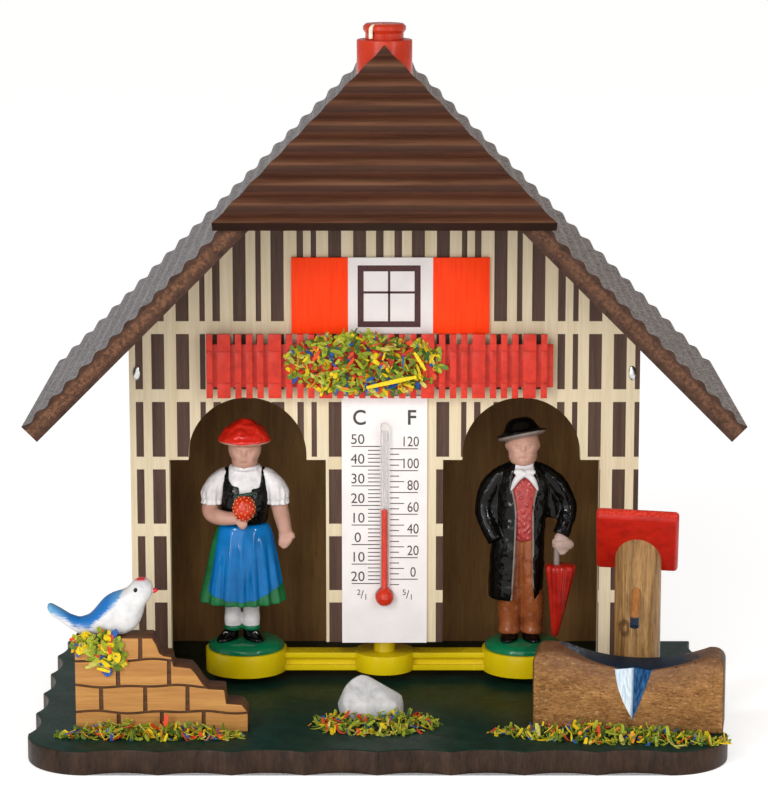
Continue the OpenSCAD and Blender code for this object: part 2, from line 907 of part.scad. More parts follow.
module quartz_stone() {
  pts = [
    [-7, 0, 0], [-5.5, -5, 0], [2, -6, 0], [6.6, -4, 0], [7, 2, 0], [2, 5, 0], [-4, 5, 0],
    [-6.4, -2, 3.4], [-4, -4, 4.6], [0.4, -4.6, 6], [5.6, -3, 4], [6, 2, 3.2],
    [-0.2, 0.4, 8.6], [2.2, -0.6, 7.4], [-3.6, 2.4, 5], [2, 3.6, 5]
  ];
  color("#e8e8ea")
    translate([stone_x, stone_y, z0])
      hull()
        for (p = pts)
          translate(p - [0.1, 0.1, 0])
            cube([0.2, 0.2, 0.2]);
}

module stone_flowers() {
  color("#9dae34")
    difference() {
      translate([stone_x + 1, stone_y - 9, z0])
        mound(14, 7, 3.2);
      quartz_stone();
    }
}

// Trough and pump

module trough_frame() {
  translate([trough_x, trough_y, z0])
    rotate([0, 0, -trough_yaw])
      children();
}

// Block with rounded ends and a rounded front upper edge.
module trough_block() {
  w = trough_w / 2;
  r = trough_edge;
  intersection() {
    union() {
      span([-w, 0, 0], [w, trough_d, trough_h - r]);
      span([-w + r, 0, 0], [w - r, trough_d, trough_h]);
      for (s = [-1, 1])
        bore_y(s * (w - r), 0, trough_h - r, trough_d, r);
    }
    union() {
      span([-w - 1, 0, -1], [w + 1, trough_d + 1, trough_h - r]);
      span([-w - 1, r, -1], [w + 1, trough_d + 1, trough_h + 1]);
      translate([-w - 1, r, trough_h - r])
        rotate([0, 90, 0])
          cylinder(h = 2 * w + 2, r = r);
    }
  }
}

module water_trough() {
  half = trough_w * 0.385;
  scoop_r = (half * half + scoop_h * scoop_h) / (2 * scoop_h);
  notch_w = 8.1;
  notch_t = 2.6;
  notch_z = 2.2;
  tilt = atan(notch_t / (trough_h - scoop_h - notch_z));
  color("#8a5d34")
    trough_frame()
      difference() {
        trough_block();
        bore_y(notch_x, -1, trough_h - scoop_h + scoop_r, trough_d + 2, scoop_r);
        translate([notch_x, 0, notch_z])
          rotate([-tilt, 0, 0])
            linear_extrude(trough_h)
              polygon([[0, 0], [-1.5 * notch_w, -3 * notch_t], [1.5 * notch_w, -3 * notch_t]]);
      }
}

// Plane of the pump board: the slanted cut of the post's top.
module board_frame() {
  translate([pump_x, pump_y - pump_r, pump_h])
    rotate([-board_tilt, 0, 0])
      children();
}

module spout_path(r, len) {
  translate([pump_x, pump_y - pump_r, spout_z])
    rotate([180 - 90 + spout_tilt, 0, 0])
      translate([0, 0, -3])
        cylinder(h = len + 3, r = r);
}

module pump_post() {
  color("#b58a55")
    trough_frame()
      difference() {
        upright(pump_x, pump_y, -socket_h, pump_h + 1, pump_r);
        board_frame()
          span([-far, -far, 0], [far, far, far]);
        spout_path(spout_d / 2 + fit, spout_len);
      }
}

module pump_board() {
  color("#d3231a")
    trough_frame()
      board_frame()
        rotate([0, 0, 2.2])
          span([-board_w / 2, -board_up, 0], [board_w / 2, board_h - board_up, board_t]);
}

module spout_peg() {
  color("#9a6433")
    trough_frame()
      spout_path(spout_d / 2, spout_len);
}

module trough_flowers() {
  color("#9dae34")
    difference() {
      translate([trough_x - 4, trough_y - 4.5, z0])
        mound(25, 6, 3);
      trough_frame()
        span([-far, 0, -1], [far, far, far]);
    }
}

base_plate();
front_wall();
side_wall_left();
side_wall_right();
back_panel();
roof_left();
roof_right();
gable_hip();
chimney_stack();
adjuster_knob();
gut_string();
figure_carrier();
woman_figure();
man_figure();
thermometer_card();
thermometer_tube();
spirit_column();
window_card();
shutter_left();
shutter_right();
balcony_rail();
balcony_flowers();
garden_wall();
bird();
wall_top_flowers();
wall_foot_flowers();
quartz_stone();
stone_flowers();
water_trough();
pump_post();
pump_board();
spout_peg();
trough_flowers();
wall_nails();
back_nails();
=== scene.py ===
import bmesh
import bpy
import math
import random
from mathutils import Matrix, Vector


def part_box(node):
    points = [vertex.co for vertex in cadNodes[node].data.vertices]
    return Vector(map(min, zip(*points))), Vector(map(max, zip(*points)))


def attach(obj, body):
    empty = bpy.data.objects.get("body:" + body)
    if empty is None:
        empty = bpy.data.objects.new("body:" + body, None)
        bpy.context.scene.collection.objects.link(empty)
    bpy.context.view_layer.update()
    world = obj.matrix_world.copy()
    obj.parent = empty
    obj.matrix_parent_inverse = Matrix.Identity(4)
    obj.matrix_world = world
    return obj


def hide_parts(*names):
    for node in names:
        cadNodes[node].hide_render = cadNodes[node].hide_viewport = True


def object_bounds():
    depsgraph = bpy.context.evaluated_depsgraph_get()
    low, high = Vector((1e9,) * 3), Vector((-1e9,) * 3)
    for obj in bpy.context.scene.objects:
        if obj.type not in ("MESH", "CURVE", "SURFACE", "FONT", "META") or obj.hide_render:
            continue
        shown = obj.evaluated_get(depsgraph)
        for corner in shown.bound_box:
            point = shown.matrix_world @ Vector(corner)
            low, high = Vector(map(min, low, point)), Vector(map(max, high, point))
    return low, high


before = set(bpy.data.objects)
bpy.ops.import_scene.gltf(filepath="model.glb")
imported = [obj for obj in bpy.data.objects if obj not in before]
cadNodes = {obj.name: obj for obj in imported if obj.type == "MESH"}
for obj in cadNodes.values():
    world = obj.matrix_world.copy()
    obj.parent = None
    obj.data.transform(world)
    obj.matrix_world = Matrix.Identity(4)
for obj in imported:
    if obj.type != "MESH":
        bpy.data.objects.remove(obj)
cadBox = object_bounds()
mm = 0.001
baseTop = 5.2  # upper face of the green board, in millimetres
print("frame loaded:", len(cadNodes), "nodes")

# camera at the photograph's angle, pale floor, soft light
studio = {
    "cameraPlace": (-0.0001, -0.6634, 0.1998), "cameraTilt": 79, "lens": 141.5, "sensor": 36,
    "sky": 0.42, "floor": "#fbfaf8", "glow": 0.5, "floorSize": 12,
    "sunTurn": (72, 0, -20), "sunPower": 1.0, "sunAngle": 45,
    "boxes": [  # place, power, width, height
        ((-0.42, -0.62, 0.5), 1.2, 0.1, 0.1), ((0.5, -0.55, 0.42), 0.8, 0.085, 0.085),
        ((0.02, -0.95, 0.24), 1.4, 1.0, 1.0), ((-0.5, -0.72, 0.18), 0.8, 0.055, 0.3),
        ((0.48, -0.68, 0.2), 0.65, 0.05, 0.28)],
    "boxAim": (0, 0, 0.07),
}


def tone(code):
    parts = [int(code[i:i + 2], 16) / 255 for i in (1, 3, 5)]
    return [c / 12.92 if c <= 0.04045 else ((c + 0.055) / 1.055) ** 2.4 for c in parts] + [1]


def clearSelection():
    if bpy.context.object and bpy.context.object.mode != "OBJECT":
        bpy.ops.object.mode_set(mode="OBJECT")
    bpy.ops.object.select_all(action="DESELECT")


def pick(*pieces):
    clearSelection()
    for piece in pieces:
        piece.select_set(True)
    bpy.context.view_layer.objects.active = pieces[0]


# shader helpers: an input is a plain value or another node's socket
def addNode(tree, kind, inputs=None, **settings):
    node = tree.nodes.new(kind)
    for label, value in settings.items():
        setattr(node, label, value)
    for label, value in (inputs or {}).items():
        if isinstance(value, bpy.types.NodeSocket):
            tree.links.new(value, node.inputs[label])
        else:
            node.inputs[label].default_value = value
    return node


def calc(tree, operation, a, b=0.0, c=0.0):
    return addNode(tree, "ShaderNodeMath", {0: a, 1: b, 2: c}, operation=operation).outputs[0]


def times(tree, first, *others):
    for other in others:
        first = calc(tree, "MULTIPLY", first, other)
    return first


def minus(tree, a, b):
    return calc(tree, "SUBTRACT", a, b)


def below(tree, value, limit):
    return calc(tree, "LESS_THAN", value, limit)


def fade(tree, value, low, high, start=0.0, end=1.0):
    return addNode(tree, "ShaderNodeMapRange", {0: value, 1: low, 2: high, 3: start, 4: end}).outputs[0]


def mixTone(tree, factor, a, b):
    return addNode(tree, "ShaderNodeMix", {0: factor, 6: a, 7: b}, data_type="RGBA").outputs[2]


def noiseAt(tree, vector, scale, detail=3.0, roughness=0.5, distortion=0.0):
    return addNode(tree, "ShaderNodeTexNoise", {
        "Vector": vector, "Scale": scale, "Detail": detail,
        "Roughness": roughness, "Distortion": distortion,
    }).outputs[0]


def stops(tree, value, points, interpolation="LINEAR"):
    ramp = addNode(tree, "ShaderNodeValToRGB", {0: value})
    band = ramp.color_ramp
    band.interpolation = interpolation
    while len(band.elements) < len(points):
        band.elements.new(1.0)
    for element, (place, level) in zip(band.elements, points):
        element.position = place
    for element, (place, level) in zip(band.elements, points):
        element.color = (level, level, level, 1)
    return ramp.outputs[0]


# object coordinates in millimetres
def objectSpace(tree, scale=(1, 1, 1), turn=0.0, shift=(0, 0, 0)):
    coords = addNode(tree, "ShaderNodeTexCoord")
    return addNode(tree, "ShaderNodeMapping", {
        "Vector": coords.outputs["Object"], "Scale": [1000 * s for s in scale],
        "Rotation": (0, 0, math.radians(turn)), "Location": shift,
    }).outputs[0]


def axes(tree, vector):
    return addNode(tree, "ShaderNodeSeparateXYZ", {0: vector}).outputs


def facing(tree):
    return axes(tree, addNode(tree, "ShaderNodeTexCoord").outputs["Normal"])


def newMaterial(name, **fixed):
    material = bpy.data.materials.new(name)
    material.use_nodes = True
    tree = material.node_tree
    shader = tree.nodes["Principled BSDF"]
    shader.inputs["Specular IOR Level"].default_value = 0.25
    for label, value in fixed.items():
        shader.inputs[label.replace("_", " ")].default_value = value
    return material, tree, shader


def feed(tree, shader, colour=None, roughness=None, height=None, depth=0.1, strength=0.6):
    if colour is not None:
        tree.links.new(colour, shader.inputs["Base Color"])
    if roughness is not None:
        tree.links.new(roughness, shader.inputs["Roughness"])
    if height is not None:
        bump = addNode(tree, "ShaderNodeBump", {
            "Strength": strength, "Distance": depth * mm, "Height": height,
        })
        tree.links.new(bump.outputs[0], shader.inputs["Normal"])


def newGroup(name, inputs, outputs):
    group = bpy.data.node_groups.new(name, "ShaderNodeTree")
    for way, sockets in (("INPUT", inputs), ("OUTPUT", outputs)):
        for label, kind in sockets.items():
            group.interface.new_socket(label, in_out=way, socket_type="NodeSocket" + kind)
    return group, group.nodes.new("NodeGroupInput").outputs, group.nodes.new("NodeGroupOutput").inputs


def placeGroup(tree, group, **inputs):
    return addNode(tree, "ShaderNodeGroup", inputs, node_tree=group).outputs


# long fibres, bands and open pores; the vector is stretched along the grain
def makeWoodGrain():
    group, given, result = newGroup(
        "woodGrain",
        {"Vector": "Vector", "Light": "Color", "Dark": "Color", "Contrast": "Float", "Pores": "Float"},
        {"Color": "Color", "Height": "Float"})
    broad = noiseAt(group, given["Vector"], 0.7, 3, 0.55, 0.5)
    fine = noiseAt(group, given["Vector"], 3.4, 5, 0.65)
    both = calc(group, "MULTIPLY_ADD", fine, 0.45, times(group, broad, 0.55))
    band = times(group, fade(group, both, 0.36, 0.64), given["Contrast"])
    speck = fade(group, noiseAt(group, given["Vector"], 6.5, 2, 0.5), 0.6, 0.7)
    pore = times(group, speck, given["Pores"])
    wood = mixTone(group, band, given["Light"], given["Dark"])
    deep = mixTone(group, 0.55, given["Dark"], (0, 0, 0, 1))
    group.links.new(mixTone(group, pore, wood, deep), result["Color"])
    group.links.new(minus(group, times(group, band, -0.4), pore), result["Height"])
    return group


# slight unevenness of moulded or brushed paint
def makeUnevenCoat():
    group, given, result = newGroup(
        "unevenCoat",
        {"Vector": "Vector", "Paint": "Color", "Shade": "Color", "Gloss": "Float"},
        {"Color": "Color", "Roughness": "Float", "Height": "Float"})
    cloud = noiseAt(group, given["Vector"], 0.5, 3, 0.5)
    grit = noiseAt(group, given["Vector"], 3.2, 3, 0.6)
    paint = mixTone(group, fade(group, cloud, 0.4, 0.7, 0, 0.8), given["Paint"], given["Shade"])
    dull = calc(group, "ADD", given["Gloss"], fade(group, grit, 0.3, 0.8, -0.05, 0.14))
    group.links.new(paint, result["Color"])
    group.links.new(dull, result["Roughness"])
    group.links.new(calc(group, "MULTIPLY_ADD", grit, 0.3, cloud), result["Height"])
    return group


# mineral grit in three tones
def makeGrit():
    group, given, result = newGroup(
        "grit",
        {"Vector": "Vector", "Body": "Color", "Pale": "Color", "Deep": "Color"},
        {"Color": "Color", "Height": "Float"})
    cells = addNode(group, "ShaderNodeTexVoronoi", {"Vector": given["Vector"], "Scale": 2.6})
    pickCell = axes(group, cells.outputs["Color"])[0]
    cloud = noiseAt(group, given["Vector"], 0.35, 4, 0.6)
    body = mixTone(group, fade(group, cloud, 0.35, 0.7, 0, 0.5), given["Body"], given["Deep"])
    pale = mixTone(group, fade(group, pickCell, 0.62, 0.82), body, given["Pale"])
    group.links.new(mixTone(group, fade(group, pickCell, 0.3, 0.14), pale, given["Deep"]), result["Color"])
    group.links.new(calc(group, "ADD", pickCell, cloud), result["Height"])
    return group


woodGrain = makeWoodGrain()
unevenCoat = makeUnevenCoat()
grit = makeGrit()


def grainOn(tree, stretch, light, dark, contrast, pores, turn=0.0):
    return placeGroup(
        tree, woodGrain, Vector=objectSpace(tree, stretch, turn), Light=tone(light), Dark=tone(dark),
        Contrast=contrast, Pores=pores)


def coatOn(tree, size, paint, shade, gloss):
    return placeGroup(
        tree, unevenCoat, Vector=objectSpace(tree, (size, size, size)), Paint=tone(paint),
        Shade=tone(shade), Gloss=gloss)


# glaze is a clear coat and under is light scattered below the surface, each with weight and extent
def makeCoat(name, paint, shade, gloss, size, depth, glaze=None, under=None, **fixed):
    if glaze:
        fixed.update(Coat_Weight=glaze[0], Coat_Roughness=glaze[1])
    if under:
        fixed.update(Subsurface_Weight=under[0], Subsurface_Scale=under[1])
    material, tree, shader = newMaterial(name, **fixed)
    coat = coatOn(tree, size, paint, shade, gloss)
    feed(tree, shader, coat["Color"], coat["Roughness"], coat["Height"], depth)
    return material


def makePanel():
    material, tree, shader = newMaterial("stainedPanel", Roughness=0.6)
    grain = grainOn(tree, (0.5, 0.5, 0.05), "#9d7340", "#76532c", 0.8, 0.25)
    feed(tree, shader, grain["Color"], None, grain["Height"], 0.08)
    return material


wallPrint = {
    "middle": 0.98, "reach": 60,
    "columns": [
        (1.03, 2.71), (4.88, 7.68), (10.27, 13.06), (15.57, 16.67), (18.38, 19.82), (22.59, 25.5),
        (27.47, 28.79), (30.85, 33.71), (36.49, 38.08), (39.68, 40.8), (43.15, 46.16), (48.57, 51.35),
        (53.38, 54.95)],
    "band": 20.3, "pitch": 15, "half": 1.4, "lastBand": 82.5, "soft": 0.06,
    "cream": ("#ddcdb0", "#c8b590"), "brown": ("#573f33", "#3b251a"),
}


def makeWallBoard():
    s = wallPrint
    material, tree, shader = newMaterial("timberedBoard", Roughness=0.5)
    x, y, z = axes(tree, objectSpace(tree))
    side = calc(tree, "ABSOLUTE", minus(tree, x, s["middle"]))
    points = [(0, 0)]
    for start, end in s["columns"]:
        points += [(start / s["reach"], 1), (end / s["reach"], 0)]
    column = stops(tree, calc(tree, "DIVIDE", side, s["reach"]), points, "CONSTANT")
    up = minus(tree, z, baseTop)
    phase = 0.5 - s["band"] / s["pitch"] + 1
    step = calc(tree, "FRACT", calc(tree, "MULTIPLY_ADD", up, 1 / s["pitch"], phase))
    off = times(tree, calc(tree, "ABSOLUTE", minus(tree, step, 0.5)), s["pitch"])
    band = times(tree, fade(tree, off, s["half"] + s["soft"], s["half"] - s["soft"]),
                 below(tree, up, s["lastBand"]))
    front = below(tree, facing(tree)[1], -0.7)
    brown = times(tree, column, minus(tree, 1, band), front)
    cream = grainOn(tree, (0.9, 0.9, 0.035), *s["cream"], 0.8, 0.08)
    dark = grainOn(tree, (1.5, 1.5, 0.05), *s["brown"], 0.9, 0.35)
    height = calc(tree, "MULTIPLY_ADD", dark["Height"], 0.4, times(tree, brown, -0.5))
    feed(tree, shader, mixTone(tree, brown, cream["Color"], dark["Color"]), None, height, 0.06)
    return material


def makeBaseBoard():
    material, tree, shader = newMaterial("greenBoard", Specular_IOR_Level=0.14)
    top = fade(tree, facing(tree)[2], 0.6, 0.85)
    paint = coatOn(tree, 0.7, "#143429", "#0b231c", 0.4)
    edge = grainOn(tree, (0.5, 0.5, 0.12), "#3f2d21", "#1f150f", 0.95, 0.4)
    colour = mixTone(tree, top, edge["Color"], paint["Color"])
    feed(tree, shader, colour, paint["Roughness"], paint["Height"], 0.06)
    return material


roofBoard = {
    "apex": 139.4, "speck": "#4a413c",
    "left": {"Body": "#969192", "Pale": "#a5a09f", "Deep": "#7d7879"},
    "right": {"Body": "#968c88", "Pale": "#b0a49c", "Deep": "#6e6560"},
    "stretch": {"left": (1.3, 0.4, 1.3), "right": (0.8, 0.8, 0.8)},
}


# grey mineral top, softly drawn out on the left board and specked on the right one; the cut front
# edge is flecked between dark margins
def makeRoof():
    s = roofBoard
    material, tree, shader = newMaterial("mineralRoof", Roughness=0.82)
    top = fade(tree, facing(tree)[2], 0.25, 0.4)
    x, y, z = axes(tree, objectSpace(tree))
    drawn, speckled = [
        placeGroup(tree, grit, Vector=objectSpace(tree, s["stretch"][board]),
                   **{label: tone(shade) for label, shade in s[board].items()})
        for board in ("left", "right")]
    right = fade(tree, x, -3, 3)
    pit = fade(tree, noiseAt(tree, objectSpace(tree), 1.1, 2, 0.5), 0.63, 0.7, 0, 0.8)
    specked = mixTone(tree, pit, speckled["Color"], tone(s["speck"]))
    stone = mixTone(tree, right, drawn["Color"], specked)
    more = minus(tree, speckled["Height"], drawn["Height"])
    rough = calc(tree, "MULTIPLY_ADD", right, more, drawn["Height"])
    wood = grainOn(tree, (0.55, 0.05, 0.55), "#4c3327", "#2c1b13", 0.95, 0.4)
    above = calc(tree, "ADD", minus(tree, z, s["apex"]), calc(tree, "ABSOLUTE", x))
    up = times(tree, above, 0.7071)  # square to the roof's 45 degrees
    fleck = noiseAt(tree, objectSpace(tree, (1.4, 0.3, 1.4)), 1.0, 4, 0.7)
    core = times(tree, fade(tree, up, 0.8, 1.7), fade(tree, up, 3.6, 3.0))
    worn = times(tree, core, fade(tree, fleck, 0.42, 0.66, 0.1, 0.85), fade(tree, x, -3, 3, 1, 0.7))
    edge = mixTone(tree, worn, wood["Color"], tone("#80573c"))
    height = calc(tree, "MULTIPLY_ADD", rough, top, wood["Height"])
    feed(tree, shader, mixTone(tree, top, edge, stone), None, height, 0.16, 0.8)
    return material


hipBoard = {"foot": (-32.5, 111.8), "slope": 59, "pitch": 40 / 9}


# the crests of the waves are painted paler in streaks, partly wear and partly a painted highlight where they
# face the light
def makeHip():
    s = hipBoard
    material, tree, shader = newMaterial("waveHipWood", Roughness=0.55, Specular_IOR_Level=0.14)
    x, y, z = axes(tree, objectSpace(tree))
    lean = math.radians(s["slope"])
    along = calc(tree, "ADD", times(tree, minus(tree, y, s["foot"][0]), math.cos(lean)),
                 times(tree, minus(tree, z, s["foot"][1]), math.sin(lean)))
    wave = calc(tree, "COSINE", times(tree, along, 2 * math.pi / s["pitch"]))
    streak = noiseAt(tree, objectSpace(tree, (0.06, 1.1, 1.1)), 1.0, 4, 0.6)
    # pale streaks on the wave crests: painted highlight mixed with wear
    worn = times(tree, fade(tree, wave, -0.6, 1.0), fade(tree, streak, 0.34, 0.7, 0.15, 0.8))
    grain = grainOn(tree, (0.05, 0.8, 0.8), "#4e2a18", "#32190e", 0.9, 0.3)
    board = mixTone(tree, worn, grain["Color"], tone("#6f4a34"))
    foot = fade(tree, facing(tree)[2], 0.2, 0.0)
    feed(tree, shader, mixTone(tree, foot, board, tone("#24140d")), None, grain["Height"], 0.06)
    return material


gardenWall = {
    "left": -64.9, "front": -30.6, "thick": 7, "width": 36.2, "height": 20.4, "ease": 0.3,
    "outline": [
        (0, 0), (0, 1), (0.45, 1), (0.475, 0.92), (0.49, 0.84), (0.515, 0.81), (0.56, 0.8), (0.57, 0.7),
        (0.67, 0.68), (0.7, 0.62), (0.735, 0.52), (0.765, 0.46), (0.865, 0.45), (0.875, 0.3), (0.965, 0.29),
        (1, 0.21), (1, 0)],
    "levels": [0, 0.215, 0.49, 0.765, 1.0],
    "uprights": [(0, (0.25, 0.5, 0.74)), (1, (0.15, 0.405, 0.65)), (2, (0.25, 0.545)), (3, (0.38,))],
    "level": 0.55, "upright": 0.95, "deep": 0.5, "wander": 0.34,
}


# tan face with burnt grooves
def makeBrick():
    material, tree, shader = newMaterial("engravedBrick", Roughness=0.55)
    y = axes(tree, objectSpace(tree))[1]
    groove = fade(tree, y, gardenWall["front"] + 0.08, gardenWall["front"] + 0.22)
    tan = grainOn(tree, (0.05, 1, 1.2), "#c08b4b", "#96602b", 0.8, 0.12)
    burnt = grainOn(tree, (0.2, 1, 1), "#6b4527", "#3d2415", 0.9, 0.3)
    feed(tree, shader, mixTone(tree, groove, tan["Color"], burnt["Color"]), None, tan["Height"], 0.05)
    return material


trough = {
    "place": (51.10, -29.648), "yaw": 8.2, "middle": 1.3, "floor": 13.4,
    "half": 16.5, "water": 12.0, "scoop": 41.4, "notch": 4.3, "notchTip": 7.4, "bulge": 3.95,
}


# oiled block with navy water in the scoop and a blue and white overflow down the notch, its left half painted
# pale as painted light and its right half deep blue as painted shade
def makeTroughWood():
    s = trough
    material, tree, shader = newMaterial("oiledTroughWood", Roughness=0.42, Specular_IOR_Level=0.06)
    turn = math.radians(s["yaw"])
    px, py = s["place"]
    shift = (-(px * math.cos(turn) - py * math.sin(turn)), -(px * math.sin(turn) + py * math.cos(turn)), 0)
    u, v, z = axes(tree, objectSpace(tree, turn=s["yaw"], shift=shift))
    u = minus(tree, u, s["middle"])
    reach = calc(tree, "ABSOLUTE", u)
    square = times(tree, u, u)
    fleck = noiseAt(tree, objectSpace(tree), 1.3, 4, 0.65)
    rim = calc(tree, "MULTIPLY_ADD", square, 0.5 / s["scoop"], s["floor"] + baseTop)
    above = minus(tree, z, rim)
    left = below(tree, u, 0)
    near = times(tree, square, calc(tree, "MULTIPLY_ADD", left, 0.014, 0.014))
    inset = times(tree, square, calc(tree, "MULTIPLY_ADD", left, -0.018, 0.03))
    far = minus(tree, s["water"], inset)
    ragged = calc(tree, "MULTIPLY_ADD", fleck, -14, u)
    water = times(
        tree, fade(tree, minus(tree, v, near), -0.3, 0.3), fade(tree, minus(tree, v, far), 0.3, -0.3),
        fade(tree, above, -0.6, -0.3), below(tree, reach, s["half"]), fade(tree, ragged, 3.5, 8.5, 1, 0))
    cut = times(tree, fade(tree, v, 0.05, 0.12), below(tree, reach, s["notch"]))
    rise = fade(tree, z, s["notchTip"], s["floor"] + baseTop)
    bend = calc(tree, "POWER", minus(tree, 1, rise), 1.8)
    bow = calc(tree, "MULTIPLY_ADD", bend, s["bulge"], -s["bulge"])
    front = below(tree, facing(tree)[1], -0.7)
    bulge = times(tree, calc(tree, "GREATER_THAN", u, bow), left, front)
    cut = times(tree, calc(tree, "MAXIMUM", cut, bulge), below(tree, above, -0.3), below(tree, v, 3.2))
    grain = grainOn(tree, (0.3, 0.7, 0.9), "#a87a48", "#6e4827", 0.95, 0.8, s["yaw"])
    speck = noiseAt(tree, objectSpace(tree, (0.9, 1.6, 2.6), turn=s["yaw"]), 1.0, 4, 0.7)
    wood = mixTone(tree, fade(tree, speck, 0.54, 0.64, 0, 0.65), grain["Color"], tone("#4c301b"))
    wood = mixTone(tree, fade(tree, speck, 0.42, 0.34, 0, 0.6), wood, tone("#cfa677"))
    sheen = times(tree, fade(tree, above, -6.5, -0.5), fade(tree, fleck, 0.3, 0.6, 0.3, 0.8))
    wood = mixTone(tree, sheen, wood, tone("#6f5140"))
    wood = mixTone(tree, fade(tree, above, -0.4, 1.2), wood, tone("#5a3a26"))
    ends = fade(tree, calc(tree, "ABSOLUTE", facing(tree)[0]), 0.55, 0.85, 0, 0.85)
    wood = mixTone(tree, ends, wood, tone("#3f2a1d"))
    smear = times(tree, fade(tree, u, -10, -12.5), fade(tree, fleck, 0.42, 0.6, 0, 0.7))
    navy = mixTone(tree, smear, tone("#14273a"), tone("#8a99a3"))
    wood = mixTone(tree, water, wood, navy)
    streak = noiseAt(tree, objectSpace(tree, (2.4, 2.4, 0.25)), 1.0, 3)
    # the notch's two faces: the left one painted pale as painted light, the right one deep blue as painted
    # shade
    pale = mixTone(tree, fade(tree, streak, 0.4, 0.7), tone("#dde6ea"), tone("#a3bccd"))
    deep = mixTone(tree, fade(tree, streak, 0.4, 0.65), tone("#12365f"), tone("#346086"))
    notch_lit_and_shaded = mixTone(tree, fade(tree, u, -0.7, -0.1), pale, deep)
    feed(tree, shader, mixTone(tree, cut, wood, notch_lit_and_shaded), None, grain["Height"], 0.1)
    return material


# edge is the line between belly and back, from the tail; crown is the red cap's back, brow and level
birdPaint = {
    "tail": -71.0, "perch": 25.6, "length": 24, "height": 14,
    "edge": [
        (0, 5.2), (4.4, 3.3), (6, 1.9), (9.1, 1.6), (10.9, 3.4), (13.1, 5.4), (15.4, 7.8), (16.6, 10.4),
        (18, 14)],
    "crown": (17.0, 21.3, 11.85),
}


def makeBirdPaint():
    s = birdPaint
    material, tree, shader = newMaterial("birdPaint", Roughness=0.38, Coat_Weight=0.25, Coat_Roughness=0.2)
    x, y, z = axes(tree, objectSpace(tree))
    u = minus(tree, x, s["tail"])
    h = minus(tree, z, s["perch"])
    points = [(a / s["length"], b / s["height"]) for a, b in s["edge"]]
    edge = times(tree, stops(tree, calc(tree, "DIVIDE", u, s["length"]), points), s["height"])
    brush = noiseAt(tree, objectSpace(tree, (0.22, 2.6, 3.6)), 1.0, 3, 0.6)
    over = calc(tree, "ADD", minus(tree, h, edge), calc(tree, "MULTIPLY_ADD", brush, 2.4, -1.2))
    ends = calc(tree, "MAXIMUM", fade(tree, u, 5.2, 0.5, 0, 0.75), fade(tree, u, 13.0, 16.5, 0, 0.7))
    blue = mixTone(tree, ends, tone("#1768ad"), tone("#72abc9"))
    coat = coatOn(tree, 1, "#d8d6d4", "#bfbfc1", 0.34)
    plumage = mixTone(tree, fade(tree, over, -0.35, 0.75), coat["Color"], blue)
    back, brow, level = s["crown"]
    cap = times(
        tree, fade(tree, calc(tree, "MULTIPLY_ADD", brush, 0.5, h), level, level + 0.4),
        fade(tree, u, back, back + 0.5), fade(tree, u, brow, brow - 0.6))
    feed(tree, shader, mixTone(tree, cap, plumage, tone("#cf2b3c")), coat["Roughness"], coat["Height"], 0.05)
    return material


# red shutter paint with brush streaks; it also glows faintly, a painted light that keeps the shutters bright
# in the roof's shade
def makeShutter():
    material, tree, shader = newMaterial(
        "glowingShutterPaint", Roughness=0.45, Specular_IOR_Level=0.1, Emission_Color=tone("#ff3a08"),
        Emission_Strength=0.14)
    streak = noiseAt(tree, objectSpace(tree, (1.6, 1.6, 0.12)), 1.0, 3, 0.6)
    colour = mixTone(tree, fade(tree, streak, 0.35, 0.7), tone("#fb4412"), tone("#ee340a"))
    feed(tree, shader, colour, None, streak, 0.05)
    return material


dowel = {"knot": (51.0, 24.6), "squash": 0.6, "ring": 0.75}


# long grain and one knot on the front
def makeDowel():
    s = dowel
    material, tree, shader = newMaterial("dowelWood", Roughness=0.38)
    x, y, z = axes(tree, objectSpace(tree))
    grain = grainOn(tree, (1.2, 1.2, 0.07), "#ab8350", "#5c3d1c", 1.0, 0.8)
    wander = calc(tree, "MULTIPLY_ADD", noiseAt(tree, objectSpace(tree), 0.9, 3), 1.4, -0.7)
    across = minus(tree, x, s["knot"][0])
    down = times(tree, minus(tree, z, s["knot"][1]), s["squash"])
    square = calc(tree, "ADD", times(tree, across, across), times(tree, down, down))
    far = calc(tree, "ADD", wander, calc(tree, "SQRT", square))
    ring = fade(tree, calc(tree, "ABSOLUTE", minus(tree, far, s["ring"])), 0.5, 0.15, 0, 0.85)
    knot = times(tree, ring, below(tree, facing(tree)[1], -0.2))
    feed(tree, shader, mixTone(tree, knot, grain["Color"], tone("#4a2d14")), None, grain["Height"], 0.09)
    return material


def makeSpout():
    material, tree, shader = newMaterial("spoutPaint", Roughness=0.4)
    grain = grainOn(tree, (1.5, 0.3, 0.3), "#b0763c", "#7a4a20", 0.9, 0.3)
    tip = fade(tree, axes(tree, objectSpace(tree))[2], 28.6, 28.3)
    feed(tree, shader, mixTone(tree, tip, grain["Color"], tone("#1f2b3c")), None, grain["Height"], 0.06)
    return material


def makeFlakes():
    material, tree, shader = newMaterial("flockFlakes", Roughness=0.6)
    tint = addNode(tree, "ShaderNodeAttribute", attribute_name="flakeTint")
    cloud = noiseAt(tree, objectSpace(tree), 2.2, 3)
    shade = fade(tree, cloud, 0.45, 0.75, 0, 0.35)
    feed(tree, shader, mixTone(tree, shade, tint.outputs["Color"], (0.02, 0.03, 0, 1)), None, cloud, 0.06)
    return material


def makeQuartz():
    material, tree, shader = newMaterial("milkyQuartz", Subsurface_Weight=0.3, Subsurface_Scale=0.003)
    vein = noiseAt(tree, objectSpace(tree), 0.3, 5, 0.6, 0.6)
    colour = mixTone(tree, fade(tree, vein, 0.4, 0.72), tone("#cfcecc"), tone("#a9a9ab"))
    feed(tree, shader, colour, fade(tree, vein, 0.3, 0.7, 0.25, 0.5), vein, 0.12, 0.6)
    return material


